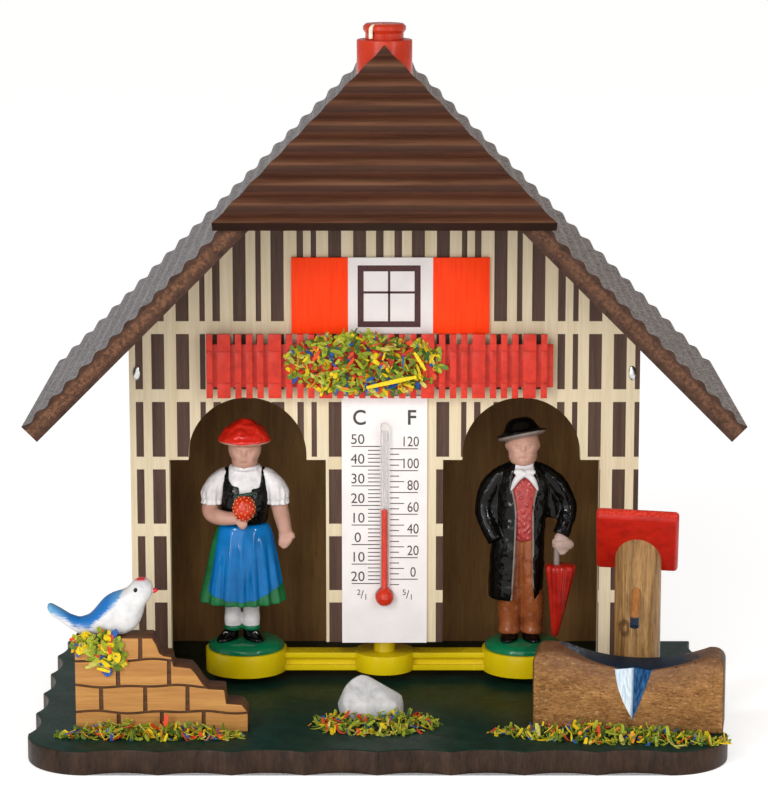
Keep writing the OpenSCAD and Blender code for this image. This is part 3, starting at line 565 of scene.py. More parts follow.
def makeGlass():
    material, tree, shader = newMaterial(
        "tubeGlass", Base_Color=(1, 1, 1, 1), Roughness=0.03, IOR=1.3, Transmission_Weight=1.0,
        Specular_IOR_Level=0.5)
    feed(tree, shader, None, None, noiseAt(tree, objectSpace(tree), 0.6, 2), 0.01, 0.2)
    return material


# brushed paint, painted lighter where the board faces up: painted light on the lit top, broken by flecks of
# wear
def makeBoardPaint():
    material, tree, shader = newMaterial("boardPaint")
    coat = coatOn(tree, 0.9, "#b01c0e", "#931409", 0.34)
    fleck = noiseAt(tree, objectSpace(tree), 2.0, 4, 0.7)
    # faces that look up get a lighter red, painted light mixed with flecks of wear
    up = times(tree, fade(tree, facing(tree)[2], 0.35, 0.75), fade(tree, fleck, 0.45, 0.62, 0.25, 1))
    colour = mixTone(tree, up, coat["Color"], tone("#ea4a38"))
    feed(tree, shader, colour, coat["Roughness"], coat["Height"], 0.14)
    return material


materials = {
    "base": makeBaseBoard(), "wall": makeWallBoard(), "roof": makeRoof(), "hip": makeHip(),
    "brick": makeBrick(), "troughWood": makeTroughWood(), "birdPaint": makeBirdPaint(),
    "shutter": makeShutter(), "dowel": makeDowel(), "spout": makeSpout(), "flakes": makeFlakes(),
    "quartz": makeQuartz(), "glass": makeGlass(), "board": makeBoardPaint(), "panel": makePanel(),
    "rail": makeCoat(
        "railPlastic", "#cf3625", "#b1281b", 0.26, 1.0, 0.05, (0.1, 0.2), Specular_IOR_Level=0.15),
    "chimney": makeCoat("chimneyPlastic", "#c6391e", "#ab2a14", 0.24, 0.12, 0.02, None, (0.12, 0.002)),
    "carrier": makeCoat("carrierPlastic", "#dfc40c", "#d3b609", 0.22, 0.12, 0.02),
    "gut": makeCoat("gutStrand", "#f2e8d6", "#dccbb0", 0.35, 3.0, 0.03),
    "card": makeCoat("scaleCard", "#e8e1de", "#dfd7d4", 0.42, 0.3, 0.02),
    "ink": makeCoat("scaleInk", "#4a4647", "#363233", 0.5, 4.0, 0.01),
    "windowInk": makeCoat("windowInk", "#4f2d2b", "#3a201f", 0.5, 3.0, 0.01),
    "spirit": makeCoat("redSpirit", "#f03e20", "#e23216", 0.2, 1.0, 0.01),
    "steel": makeCoat("nailSteel", "#d3d3d2", "#a7a7a8", 0.22, 3.0, 0.05, Metallic=1.0),
    "beak": makeCoat("beakPaint", "#e23440", "#c62632", 0.3, 2.0, 0.03),
    "bead": makeCoat("eyePaint", "#15120f", "#0b0908", 0.12, 3.0, 0.01),
    "hatRed": makeCoat("hatRed", "#d6281a", "#b91c12", 0.16, 0.8, 0.06, (0.5, 0.08)),
    "skin": makeCoat("dollSkin", "#be9381", "#a67a69", 0.34, 0.5, 0.04, None, (0.12, 0.001)),
    "white": makeCoat("dollWhite", "#dedada", "#c4bfc0", 0.22, 0.8, 0.05),
    "black": makeCoat("dollBlack", "#0a0908", "#050404", 0.06, 0.7, 0.03, Specular_IOR_Level=0.2),
    "blue": makeCoat("apronBlue", "#046cb0", "#035b95", 0.05, 0.5, 0.04, Specular_IOR_Level=0.22),
    "green": makeCoat("skirtGreen", "#1f7340", "#14562f", 0.2, 0.5, 0.05, (0.15, 0.1)),
    "foot": makeCoat("plinthGreen", "#0b7047", "#075637", 0.14, 0.4, 0.03, (0.2, 0.06)),
    "brown": makeCoat("trouserBrown", "#95512a", "#74391a", 0.24, 0.6, 0.05, (0.3, 0.1)),
    "vest": makeCoat("vestRed", "#ad403c", "#8c2a2a", 0.16, 1.4, 0.06, (0.3, 0.1)),
    "umbrella": makeCoat("umbrellaRed", "#b02016", "#8e150e", 0.2, 0.8, 0.06, (0.25, 0.1)),
    "berry": makeCoat("berryRed", "#cb3318", "#ab2411", 0.2, 1.2, 0.08, (0.3, 0.1)),
    "gold": makeCoat("seedGold", "#ee9a52", "#d9743a", 0.3, 3.0, 0.02),
    "leaf": makeCoat("leafGreen", "#27493a", "#183128", 0.3, 2.0, 0.04),
    "grey": makeCoat("bareDollPlastic", "#877a73", "#6c605a", 0.3, 1.0, 0.04),
    "bareHand": makeCoat("bareHandPlastic", "#b79c90", "#9c8177", 0.3, 1.0, 0.04),
}
print("materials made:", len(materials))


def setStage():
    s = studio
    clearSelection()
    bpy.ops.object.camera_add(location=s["cameraPlace"], rotation=(math.radians(s["cameraTilt"]), 0, 0))
    camera = bpy.context.object
    camera.data.sensor_width = s["sensor"]
    camera.data.lens = s["lens"]
    bpy.context.scene.camera = camera
    bpy.context.scene.view_settings.view_transform = "Standard"
    world = bpy.data.worlds.new("paleSky")
    world.use_nodes = True
    world.node_tree.nodes["Background"].inputs["Strength"].default_value = s["sky"]
    world.node_tree.nodes["Background"].inputs["Color"].default_value = (1, 1, 1, 1)
    bpy.context.scene.world = world
    bpy.ops.object.light_add(type="SUN", rotation=[math.radians(a) for a in s["sunTurn"]])
    bpy.context.object.data.energy = s["sunPower"]
    bpy.context.object.data.angle = math.radians(s["sunAngle"])
    for place, power, wide, tall in s["boxes"]:
        aim = Vector(s["boxAim"]) - Vector(place)
        turn = aim.to_track_quat("-Z", "Y").to_euler()
        bpy.ops.object.light_add(type="AREA", location=place, rotation=turn)
        lamp = bpy.context.object.data
        lamp.energy, lamp.shape, lamp.size, lamp.size_y = power, "RECTANGLE", wide, tall
    bpy.ops.mesh.primitive_plane_add(size=s["floorSize"])
    floor = bpy.context.object
    floor.name = "floor"
    material, tree, shader = newMaterial(
        "paleFloor", Roughness=0.9, Base_Color=tone(s["floor"]), Emission_Color=(1, 1, 1, 1),
        Emission_Strength=s["glow"])
    floor.data.materials.append(material)


setStage()
print("camera, light and floor set")


# modelling helpers: places and sizes are in millimetres
def openMesh():
    bpy.ops.object.mode_set(mode="EDIT")
    bpy.ops.mesh.select_all(action="SELECT")


def closeMesh():
    bpy.ops.object.mode_set(mode="OBJECT")


def turnOutward():
    bpy.ops.mesh.select_all(action="SELECT")
    bpy.ops.mesh.normals_make_consistent(inside=False)


def applyMod(piece, kind, **settings):
    pick(piece)
    mod = piece.modifiers.new(kind.lower(), kind)
    for label, value in settings.items():
        setattr(mod, label, value)
    bpy.ops.object.modifier_apply(modifier=mod.name)


def subdivide(piece, levels):
    applyMod(piece, "SUBSURF", levels=levels, render_levels=levels)


def bevel(piece, width, segments, limit):
    applyMod(piece, "BEVEL", width=width * mm, segments=segments, limit_method="ANGLE",
             angle_limit=math.radians(limit))


def remesh(piece, voxel, rounds=0):
    applyMod(piece, "REMESH", mode="VOXEL", voxel_size=voxel * mm)
    if rounds:
        relax(piece, rounds)
    return piece


def relax(piece, rounds):
    applyMod(piece, "SMOOTH", iterations=rounds, factor=0.5)


# a ring is drawn, then extruded, moved and resized up the rows (x, y, z, rx, ry)
def ringLoft(rows, sides):
    clearSelection()
    bpy.ops.mesh.primitive_circle_add(vertices=sides, radius=mm, fill_type="NGON")
    piece = bpy.context.object
    openMesh()
    last = rows[0]
    bpy.ops.transform.resize(value=(last[3], last[4], 1), center_override=(0, 0, 0))
    bpy.ops.transform.translate(value=[c * mm for c in last[:3]])
    for row in rows[1:]:
        move = [(row[i] - last[i]) * mm for i in range(3)]
        bpy.ops.mesh.extrude_region_move(TRANSFORM_OT_translate={"value": move})
        bpy.ops.transform.resize(
            value=(row[3] / last[3], row[4] / last[4], 1), center_override=[c * mm for c in row[:3]])
        last = row
    turnOutward()
    closeMesh()
    return piece


def ball(place, radii, segments, rings):
    clearSelection()
    bpy.ops.mesh.primitive_uv_sphere_add(segments=segments, ring_count=rings, radius=mm)
    piece = bpy.context.object
    openMesh()
    bpy.ops.transform.resize(value=radii, center_override=(0, 0, 0))
    bpy.ops.transform.translate(value=[c * mm for c in place])
    closeMesh()
    return piece


# a round path through the rows (x, y, z, radius)
def limb(rows, sides=3):
    clearSelection()
    path = bpy.data.curves.new("limb", "CURVE")
    path.dimensions = "3D"
    path.bevel_depth = mm
    path.bevel_resolution = sides
    path.use_fill_caps = True
    spline = path.splines.new("NURBS")
    spline.points.add(len(rows) - 1)
    for point, (x, y, z, r) in zip(spline.points, rows):
        point.co = (x * mm, y * mm, z * mm, 1)
        point.radius = r
    spline.order_u = min(3, len(rows))
    spline.use_endpoint_u = True
    spline.resolution_u = 8
    piece = bpy.data.objects.new("limb", path)
    bpy.context.collection.objects.link(piece)
    pick(piece)
    bpy.ops.object.convert(target="MESH")
    return bpy.context.object


# an upright outline (x, z) extruded from near to far
def slab(outline, near, far):
    clearSelection()
    bpy.ops.mesh.primitive_circle_add(vertices=len(outline), radius=mm, fill_type="NGON")
    piece = bpy.context.object
    openMesh()
    sheet = bmesh.from_edit_mesh(piece.data)
    for corner, (x, z) in zip(sheet.verts, outline):
        corner.co = (x * mm, near * mm, z * mm)
    bmesh.update_edit_mesh(piece.data)
    bpy.ops.mesh.extrude_region_move(TRANSFORM_OT_translate={"value": (0, (far - near) * mm, 0)})
    turnOutward()
    closeMesh()
    return piece


def hoop(place, reach, thick, around, across, lean=0):
    clearSelection()
    bpy.ops.mesh.primitive_torus_add(
        major_segments=around, minor_segments=across, major_radius=reach * mm, minor_radius=thick * mm)
    piece = bpy.context.object
    piece.rotation_euler = (math.radians(lean), 0, 0)
    piece.location = [c * mm for c in place]
    bpy.ops.object.transform_apply(location=True, rotation=True, scale=True)
    return piece


def twin(piece):
    copy = piece.copy()
    copy.data = piece.data.copy()
    bpy.context.collection.objects.link(copy)
    return copy


def stamp(source, placements):
    copies = []
    for matrix in placements:
        copy = twin(source)
        copy.data.transform(matrix)
        copies.append(copy)
    bpy.data.objects.remove(source)
    return copies


def join(pieces):
    pick(*pieces)
    if len(pieces) > 1:
        bpy.ops.object.join()
    return bpy.context.object


def fuse(pieces, voxel, rounds):
    return remesh(join(pieces), voxel, rounds)


def carve(piece, tool, operation):
    applyMod(piece, "BOOLEAN", operation=operation, object=tool, solver="EXACT")
    bpy.data.objects.remove(tool)
    return piece


# widens a piece about an upright line
def widen(piece, place, factor):
    for v in piece.data.vertices:
        v.co.x = place[0] * mm + (v.co.x - place[0] * mm) * factor
        v.co.y = place[1] * mm + (v.co.y - place[1] * mm) * factor
    return piece


# folds that run up a skirt or sleeve and deepen towards low
def flute(piece, place, count, depth, low, high):
    for v in piece.data.vertices:
        x, y, z = v.co.x / mm - place[0], v.co.y / mm - place[1], v.co.z / mm - place[2]
        reach = math.hypot(x, y)
        if reach < 0.5:
            continue
        grow = min(1.0, max(0.0, (high - z) / (high - low)))
        angle = math.atan2(y, x)
        k = 1 + depth * grow * math.cos(count * angle + 0.8 * math.sin(2 * angle)) / reach
        v.co.x, v.co.y = (place[0] + x * k) * mm, (place[1] + y * k) * mm
    return piece


# soft dents and swellings (x, y, z, reach, depth) pressed along the surface's normals
def press(piece, place, spots):
    normals = [v.normal.copy() for v in piece.data.vertices]
    for v, normal in zip(piece.data.vertices, normals):
        here = v.co / mm - Vector(place)
        push = 0
        for x, y, z, reach, depth in spots:
            far = (here - Vector((x, y, z))).length
            if far < 2.5 * reach:
                push += depth * math.exp(-(far / reach) ** 2)
        v.co += normal * push * mm
    return piece


def crumple(piece, size, strength):
    texture = bpy.data.textures.new("crumple", "CLOUDS")
    texture.noise_scale = size * mm
    applyMod(piece, "DISPLACE", texture=texture, strength=strength * mm, mid_level=0.5,
             texture_coords="LOCAL")
    return piece


def finishPiece(piece, name, body, material, node=None, angle=None):
    piece.name = name
    piece.data.name = name
    pick(piece)
    bpy.ops.object.transform_apply(location=True, rotation=True, scale=True)
    piece.data.materials.clear()
    piece.data.materials.append(materials[material])
    if angle is None:
        bpy.ops.object.shade_smooth()
    else:
        bpy.ops.object.shade_smooth_by_angle(angle=math.radians(angle))
    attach(piece, body)
    if node:
        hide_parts(node)
    return piece


# a free copy of a solid with its doubled corners merged and, in the same edit, its flat faces made whole
def mergedCopy(node, flat=None):
    piece = twin(cadNodes[node])
    for key in list(piece.keys()):
        del piece[key]
    piece.parent = None
    pick(piece)
    bpy.ops.mesh.customdata_custom_splitnormals_clear()
    openMesh()
    bpy.ops.mesh.remove_doubles(threshold=0.000002)
    if flat:
        bpy.ops.mesh.dissolve_limited(angle_limit=math.radians(flat))
    closeMesh()
    return piece


# a merged copy with its sharp edges eased
def easedCopy(node, name, body, material, width, segments=2, limit=40):
    piece = mergedCopy(node, 0.3)
    bevel(piece, width, segments, limit)
    return finishPiece(piece, name, body, material, node, 35)


for node, material in [
    ("front_wall", "wall"), ("side_wall_left", "panel"), ("side_wall_right", "panel"),
    ("back_panel", "panel"), ("roof_left", "roof"), ("roof_right", "roof"), ("gable_hip", "hip"),
    ("thermometer_card", "card"), ("thermometer_tube", "glass"), ("window_card", "card"),
    ("gut_string", "gut"), ("pump_post", "dowel"), ("spout_peg", "spout"), ("back_nails", "steel"),
]:
    for slot in cadNodes[node].material_slots:
        slot.material = materials[material]
for row in [
    ("base_plate", "baseBoard", "house", "base", 0.45, 3),
    ("chimney_stack", "chimneyTube", "house", "chimney", 0.25),
    ("adjuster_knob", "chimneyKnob", "adjuster", "chimney", 0.3, 3, 25),
    ("figure_carrier", "figureBar", "carrier", "carrier", 0.3, 3),
    ("shutter_left", "shutterLeft", "house", "shutter", 0.12),
    ("shutter_right", "shutterRight", "house", "shutter", 0.12),
    ("balcony_rail", "balconyPickets", "house", "rail", 0.14),
    ("water_trough", "troughBlock", "house", "troughWood", 0.6, 3),
    ("pump_board", "pumpRoof", "house", "board", 0.9, 4),
]:
    easedCopy(*row)
print("solids dressed")

scale = {
    "front": 3.88, "line": 0.2, "digit": 2.25, "letter": 3.3, "letterTop": 60.4, "bold": 0.07,
    # the lines start beside the tube and reach out in a repeating pattern, with a number per round
    "left": {
        "root": -0.9, "reach": (-7.2, -3.6, -3.6, -3.6, -3.6), "first": 54.14, "pitch": 0.8795, "lines": 36,
        "centres": {1: -5.85, 2: -5.85}, "wide": 1.0, "digits": (50, 40, 30, 20, 10, 0, 10, 20)},
    "right": {
        "root": 1.2, "reach": (7.3, 3.2, 4.3, 3.2), "first": 53.62, "pitch": 1.2204, "lines": 26,
        "centres": {1: 6.28, 2: 6.25, 3: 5.6}, "wide": 0.84, "digits": (120, 100, 80, 60, 40, 20, 0)},
    "above": 1.5, "note": 20.8, "notes": (("2", -4.95), ("5", 5.05)),
}


def printText(words, x, z, height, wide=1.0, bold=0.0):
    clearSelection()
    bpy.ops.object.text_add()
    label = bpy.context.object
    label.data.body = words
    label.data.size = height * 1.4 * mm  # the type size is 1.4 times its capitals
    label.data.extrude = 0.02 * mm
    label.data.offset = bold * mm
    label.data.align_x = "CENTER"
    label.data.align_y = "CENTER"
    bpy.ops.object.convert(target="MESH")
    label = bpy.context.object
    label.scale.x = wide
    label.rotation_euler = (math.pi / 2, 0, 0)
    label.location = (x * mm, scale["front"] * mm, (z + baseTop) * mm)
    bpy.ops.object.transform_apply(location=True, rotation=True, scale=True)
    return label


# where a unit cube becomes one printed bar
def bar(x1, x2, z, thick, front):
    middle = Matrix.Translation(((x1 + x2) / 2 * mm, front * mm, z * mm))
    return middle @ Matrix.Diagonal(((x2 - x1), 0.05, thick, 1))


def printBars(bars):
    clearSelection()
    bpy.ops.mesh.primitive_cube_add(size=mm)
    return stamp(bpy.context.object, bars)


def printScale():
    s = scale
    parts = [printText("C", -5.45, s["letterTop"], s["letter"], 0.92, s["bold"]),
             printText("F", 5.9, s["letterTop"], s["letter"], 1.0, s["bold"])]
    marks = []
    for side in (s["left"], s["right"]):
        reach = side["reach"]
        for i in range(side["lines"]):
            z = side["first"] - i * side["pitch"]
            ends = sorted((side["root"], reach[i % len(reach)]))
            marks.append(bar(*ends, z + baseTop, s["line"], s["front"]))
        for i, number in enumerate(side["digits"]):
            z = side["first"] - i * len(reach) * side["pitch"] + s["above"]
            centre = side["centres"][len(str(number))]
            parts.append(printText(str(number), centre, z, s["digit"], side["wide"]))
    for top, x in s["notes"]:
        parts += [printText(top, x - 0.7, s["note"] + 0.5, 1.3), printText("/", x + 0.05, s["note"], 1.9),
                  printText("1", x + 0.85, s["note"] - 0.55, 1.3)]
    finishPiece(join(parts + printBars(marks)), "scalePrint", "house", "ink", None, 30)


printScale()

windowPrint = {
    "front": 3.88, "x": (-5.8, 7.8), "z": (85.7, 99.2), "frame": 1.3, "barThick": 0.5, "crossZ": 93.3,
}


def printWindow():
    s = windowPrint
    (x1, x2), (z1, z2), f, b = s["x"], s["z"], s["frame"], s["barThick"]
    across, level, tall = (x1 + x2) / 2, (z1 + z2) / 2, z2 - z1 - 2 * f
    strips = [bar(*row, s["front"]) for row in (
        (x1, x2, z1 + f / 2, f), (x1, x2, z2 - f / 2, f), (x1, x1 + f, level, tall),
        (x2 - f, x2, level, tall), (across - b / 2, across + b / 2, level, tall),
        (x1 + f, x2 - f, s["crossZ"], b))]
    finishPiece(join(printBars(strips)), "windowFrame", "house", "windowInk", None, 30)


printWindow()
print("card and window printed")

# the round glass widens the red thread until it nearly fills the tube
thread = {"bulb": 1.86, "column": 0.48, "tip": 0.36, "seat": 1.6}


def buildThread():
    s = thread
    low, high = [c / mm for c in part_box("spirit_column")]
    x, y, z = (low.x + high.x) / 2, (low.y + high.y) / 2, low.z + s["seat"]
    rows = []
    for step in range(1, 13):
        angle = math.radians(step * 13)
        reach = s["bulb"] * math.sin(angle)
        rows.append((x, y, z - s["bulb"] * math.cos(angle), reach, reach))
    for up in (0.6, 1.2):
        rows.append((x, y, rows[-1][2] + up, s["column"], s["column"]))
    rows += [(x, y, high.z - 0.1, s["column"], s["column"]), (x, y, high.z, s["tip"], s["tip"])]
    finishPiece(ringLoft(rows, 32), "spiritThread", "house", "spirit", "spirit_column", 40)


buildThread()

# the stone's corners, as shares of its box
quartz = {
    "shares": [
        (0.05, 0.25, 0), (0.2, 0.03, 0), (0.55, 0, 0), (0.85, 0.06, 0), (1, 0.3, 0), (0.97, 0.7, 0),
        (0.7, 0.98, 0), (0.3, 1, 0), (0.03, 0.75, 0), (0, 0.4, 0.3), (0.09, 0.1, 0.4), (0.3, 0.03, 0.42),
        (0.62, 0.04, 0.36), (0.9, 0.1, 0.4), (1, 0.4, 0.34), (0.95, 0.75, 0.4), (0.6, 1, 0.4),
        (0.2, 0.95, 0.4), (0.11, 0.45, 0.7), (0.22, 0.4, 0.9), (0.366, 0.45, 1), (0.46, 0.5, 0.95),
        (0.54, 0.4, 0.85), (0.72, 0.4, 0.68), (0.88, 0.38, 0.58), (0.97, 0.45, 0.48), (0.3, 0.75, 0.85),
        (0.6, 0.8, 0.7)],
    "ease": 0.4,
}


def buildQuartz():
    low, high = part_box("quartz_stone")
    corners = [[low[k] + share[k] * (high[k] - low[k]) for k in range(3)] for share in quartz["shares"]]
    rough = bpy.data.meshes.new("quartzBlock")
    rough.from_pydata(corners, [], [])
    stone = bpy.data.objects.new("quartzBlock", rough)
    bpy.context.collection.objects.link(stone)
    pick(stone)
    openMesh()
    bpy.ops.mesh.convex_hull()
    bpy.ops.mesh.normals_make_consistent(inside=False)
    closeMesh()
    bevel(stone, quartz["ease"], 3, 8)
    finishPiece(stone, "quartzBlock", "house", "quartz", "quartz_stone", 30)


buildQuartz()

nails = {"lean": 0.2, "head": (0.8, 0.4, 1.6), "shank": 0.5}


# nail heads driven in at a slant
def buildNails():
    s = nails
    low, high = [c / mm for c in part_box("wall_nails")]
    half, front, level = high.x - (high.z - low.z) / 2, low.y, (low.z + high.z) / 2
    parts = []
    for side in (-1, 1):
        x = side * half
        parts.append(ball((x - side * s["lean"], front + 0.35, level + 0.3), s["head"], 20, 14))
        parts.append(limb([(x, front + 0.4, level, s["shank"]), (x, high.y - 0.1, level, s["shank"])]))
    finishPiece(join(parts), "nailHeads", "house", "steel", "wall_nails", 40)


buildNails()
print("thread, stone and nails built")


def buildGardenWall():
    s = gardenWall
    outline = [(s["left"] + a * s["width"], baseTop + b * s["height"]) for a, b in s["outline"]]
    wall = slab(outline, s["front"], s["front"] + s["thick"])
    bevel(wall, s["ease"], 2, 25)
    draw = random.Random(11)
    levels = [baseTop + share * s["height"] for share in s["levels"]]
    tools = []
    for level in (1, 2, 3):
        line = []
        for i in range(37):
            x = s["left"] - 1 + i * (s["width"] + 2) / 36
            wave = s["wander"] * math.sin(0.42 * x + 2.1 * level) * math.cos(0.13 * x + level)
            line.append((x, levels[level] + wave))
        half = s["level"] / 2
        strip = [(x, z + half) for x, z in line] + [(x, z - half) for x, z in reversed(line)]
        tools.append(slab(strip, s["front"] - 1, s["front"] + s["deep"]))
    for course, shares in s["uprights"]:
        low = levels[course]
        high = levels[course + 1] + (0.6 if course == 3 else 0)
        for share in shares:
            x = s["left"] + share * s["width"]
            lean = draw.uniform(-0.15, 0.15)
            half = s["upright"] / 2
            face = [(x - half, low), (x - half * 0.85 + lean, high), (x + half * 0.9 + lean, high),
                    (x + half, low)]
            tools.append(slab(face, s["front"] - 1, s["front"] + s["deep"] * 0.9))
    for tool in tools:
        carve(wall, tool, "DIFFERENCE")
    finishPiece(wall, "brickWall", "house", "brick", "garden_wall", 30)


buildGardenWall()
print("garden wall built")

# eye and beak are measured from the tail and the perch; shape presses dents (x, z, reach, depth)
bird = {
    "voxel": 0.28, "eye": (19.0, 10.05), "eyeSize": (0.45, 0.3, 0.5), "beak": (22.1, 9.4),
    "beakRows": ((-0.4, 0.62), (0.4, 0.6), (1.0, 0.42), (1.4, 0.12)),
    "shape": [
        (-54.6, 36.1, 1.6, -0.6), (-58.6, 33.6, 3.0, 0.75), (-48.7, 32.4, 2.0, -0.65),
        (-51.0, 28.4, 2.6, 0.7)],
}


def buildBird():
    s = bird
    body = remesh(mergedCopy("bird"), s["voxel"], 14)
    middle = gardenWall["front"] + gardenWall["thick"] / 2
    press(body, (0, middle, 0), [(x, 0, z, reach, depth) for x, z, reach, depth in s["shape"]])
    relax(body, 4)
    x, z = (birdPaint["tail"] + s["eye"][0]) * mm, (birdPaint["perch"] + s["eye"][1]) * mm
    eyes = []
    for side in (-1, 1):
        start = Vector((x, (middle + side * 20) * mm, z))
        hit, spot, normal, face = body.ray_cast(start, Vector((0, -side, 0)))
        eyes.append(ball([c / mm for c in spot], s["eyeSize"], 16, 12))
    finishPiece(body, "birdBody", "house", "birdPaint", "bird")
    finishPiece(join(eyes), "birdEyes", "house", "bead")
    x, z = birdPaint["tail"] + s["beak"][0], birdPaint["perch"] + s["beak"][1]
    beak = limb([(x + out, middle, z, reach) for out, reach in s["beakRows"]])
    finishPiece(beak, "birdBeak", "house", "beak", "bird")


buildBird()
print("bird built")

flock = {
    "tints": [
        ("#a4ad30", 25), ("#8b982c", 20), ("#62792a", 13), ("#e8c71c", 17), ("#3a5c22", 8), ("#dc4b26", 9),
        ("#2a5ca8", 6), ("#c8bd5a", 8), ("#e8902c", 3)],
    "thick": 0.14, "ground": 5.35, "lowest": 5.21,
    "shreds": {"length": (1.2, 4.0), "width": (0.35, 1.2), "lean": 0.75},
    "chips": {"length": (1.0, 4.0), "width": (0.3, 1.3), "lean": 0.6},
    "clump": {"length": (1.4, 4.0), "width": (0.7, 2.0), "lean": 0.5},
    "patches": [  # name, node, flakes, seed, kind
        ("wallFootFlock", "wall_foot_flowers", 340, 3, "shreds"),
        ("wallTopFlock", "wall_top_flowers", 150, 4, "clump"),
        ("stoneFlock", "stone_flowers", 320, 5, "shreds"),
        ("troughFlock", "trough_flowers", 460, 6, "shreds"),
        ("balconyFlock", "balcony_flowers", 620, 7, "chips")],
    # middle and reach across, middle and reach of the depth or height, stand-off, skew
    "spread": {
        "wallFootFlock": (-49.1, 20, -33.9, 3.2, 3.6, 0), "stoneFlock": (-2.0, 14, -25.5, 8.0, 2.4, 0),
        "troughFlock": (47.2, 25.2, -35.0, 4.6, 2.8, 0.14), "balconyFlock": (-4.5, 17.4, 78.3, 6.9, 2.3, 0)},
    "tufts": (
        (-60.0, 5.5, 24.5, 2.6, 1.9, 0), (-60.0, 5.5, 24.5, 2.6, 1.9, 0), (-57.8, 3.4, 20.8, 2.9, 1.9, 0)),
    "upright": {"wallTopFlock": -30.7, "balconyFlock": 0.8},  # the face behind the patch
    "strips": [  # long yellow shreds on the balcony: place, turn, length, width
        ((1.5, -1.7, 74.65), 12.5, 11.0, 1.1), ((7.6, -1.6, 79.2), -58, 4.6, 0.9)],
}


# a curled shred that narrows to both ends
def makeFlake():
    clearSelection()
    bpy.ops.mesh.primitive_cube_add(size=mm)
    flake = bpy.context.object
    for cut in (-0.17, 0.17):
        openMesh()
        bpy.ops.mesh.bisect(plane_co=(cut * mm, 0, 0), plane_no=(1, 0, 0))
    closeMesh()
    for v in flake.data.vertices:
        end = abs(v.co.x / mm) * 2
        v.co.y *= 1 - 0.45 * end
        v.co.z += 0.9 * mm * end * end
    return flake


# a spot on the patch: ground patches lie on the base, upright ones on the face behind them
def flakeSpot(draw, name):
    s = flock
    while True:
        a, b = draw.uniform(-1, 1), draw.uniform(-1, 1)
        if a * a + b * b < 1:
            break
    lift = draw.random() ** 1.4 * (1 - a * a - b * b)
    row = s["spread"][name] if name in s["spread"] else draw.choice(s["tufts"])
    middle, wide, other, span, off, skew = row
    x = middle + wide * a
    if name in s["upright"]:
        return (x, s["upright"][name] - off * lift, other + span * b)
    return (x, other - skew * (x - 47) + span * b, s["ground"] + off * lift)


def underStone(spot):
    low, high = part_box("quartz_stone")
    return low.x / mm + 1.5 < spot.x < high.x / mm - 1.5 and spot.y > low.y / mm + 1.5


def buildFlock():
    s = flock
    names = [code for code, weight in s["tints"]]
    weights = [weight for code, weight in s["tints"]]
    for name, node, count, seed, kind in s["patches"]:
        cut = s[kind]
        draw = random.Random(seed)
        up = Vector((0, -1, 0)) if name in s["upright"] else Vector((0, 0, 1))
        stand = up.to_track_quat("Z", "Y").to_matrix().to_4x4()
        placements, tints = [], []
        while len(placements) < count:
            spot = Vector(flakeSpot(draw, name))
            if name == "stoneFlock" and underStone(spot):
                continue
            length, width = draw.uniform(*cut["length"]) * draw.uniform(0.7, 1.0), draw.uniform(*cut["width"])
            tilt = Matrix.Rotation(draw.gauss(0, cut["lean"]), 4, "Y")
            tilt = tilt @ Matrix.Rotation(draw.gauss(0, 0.45), 4, "X")
            spin = Matrix.Rotation(draw.uniform(0, 2 * math.pi), 4, "Z")
            size = Matrix.Diagonal((length, width, s["thick"], 1))
            size[0][1] = draw.uniform(-0.5, 0.5)
            placements.append(Matrix.Translation(spot * mm) @ stand @ spin @ tilt @ size)
            tints.append(tone(draw.choices(names, weights)[0]))
        if name == "balconyFlock":
            for spot, turn, length, width in s["strips"]:
                spin = Matrix.Rotation(math.radians(turn), 4, "Z")
                size = Matrix.Diagonal((length, width, s["thick"], 1))
                placements.append(Matrix.Translation(Vector(spot) * mm) @ stand @ spin @ size)
                tints.append(tone(names[3]))
        master = makeFlake()
        perFlake = len(master.data.vertices)
        patch = join(stamp(master, placements))
        layer = patch.data.color_attributes.new("flakeTint", "FLOAT_COLOR", "POINT")
        for i, datum in enumerate(layer.data):
            datum.color = tints[i // perFlake]
        for v in patch.data.vertices:
            if name not in s["upright"] and v.co.z < 20 * mm:
                v.co.z = max(v.co.z, s["lowest"] * mm)
            v.co.y = max(v.co.y, cadBox[0].y)
        finishPiece(patch, name, "house", "flakes", node, 40)


buildFlock()
print("flock scattered")


# figure helpers: rows and spots are measured from the figure's place, on top of its disc
def shifted(rows, place):
    return [(r[0] + place[0], r[1] + place[1], r[2] + place[2]) + tuple(r[3:]) for r in rows]


# rows (z, rx, ry) on one upright line
def upright(x, y, rows):
    return [(x, y) + row for row in rows]


def ringsAt(place, rows, sides):
    return ringLoft(shifted(rows, place), sides)


def limbAt(place, rows, sides=3):
    return limb(shifted(rows, place), sides)


def ballAt(place, spot, radii, segments, rings):
    return ball([place[k] + spot[k] for k in range(3)], radii, segments, rings)


# cuts a piece with an outline (x, z) that runs from near to far
def trim(piece, place, outline, near, far, operation):
    face = [(place[0] + x, place[2] + z) for x, z in outline]
    return carve(piece, slab(face, place[1] + near, place[1] + far), operation)


def wear(piece, figure, part, material, angle=None):
    return finishPiece(piece, figure + part, "carrier", material, figure + "_figure", angle)


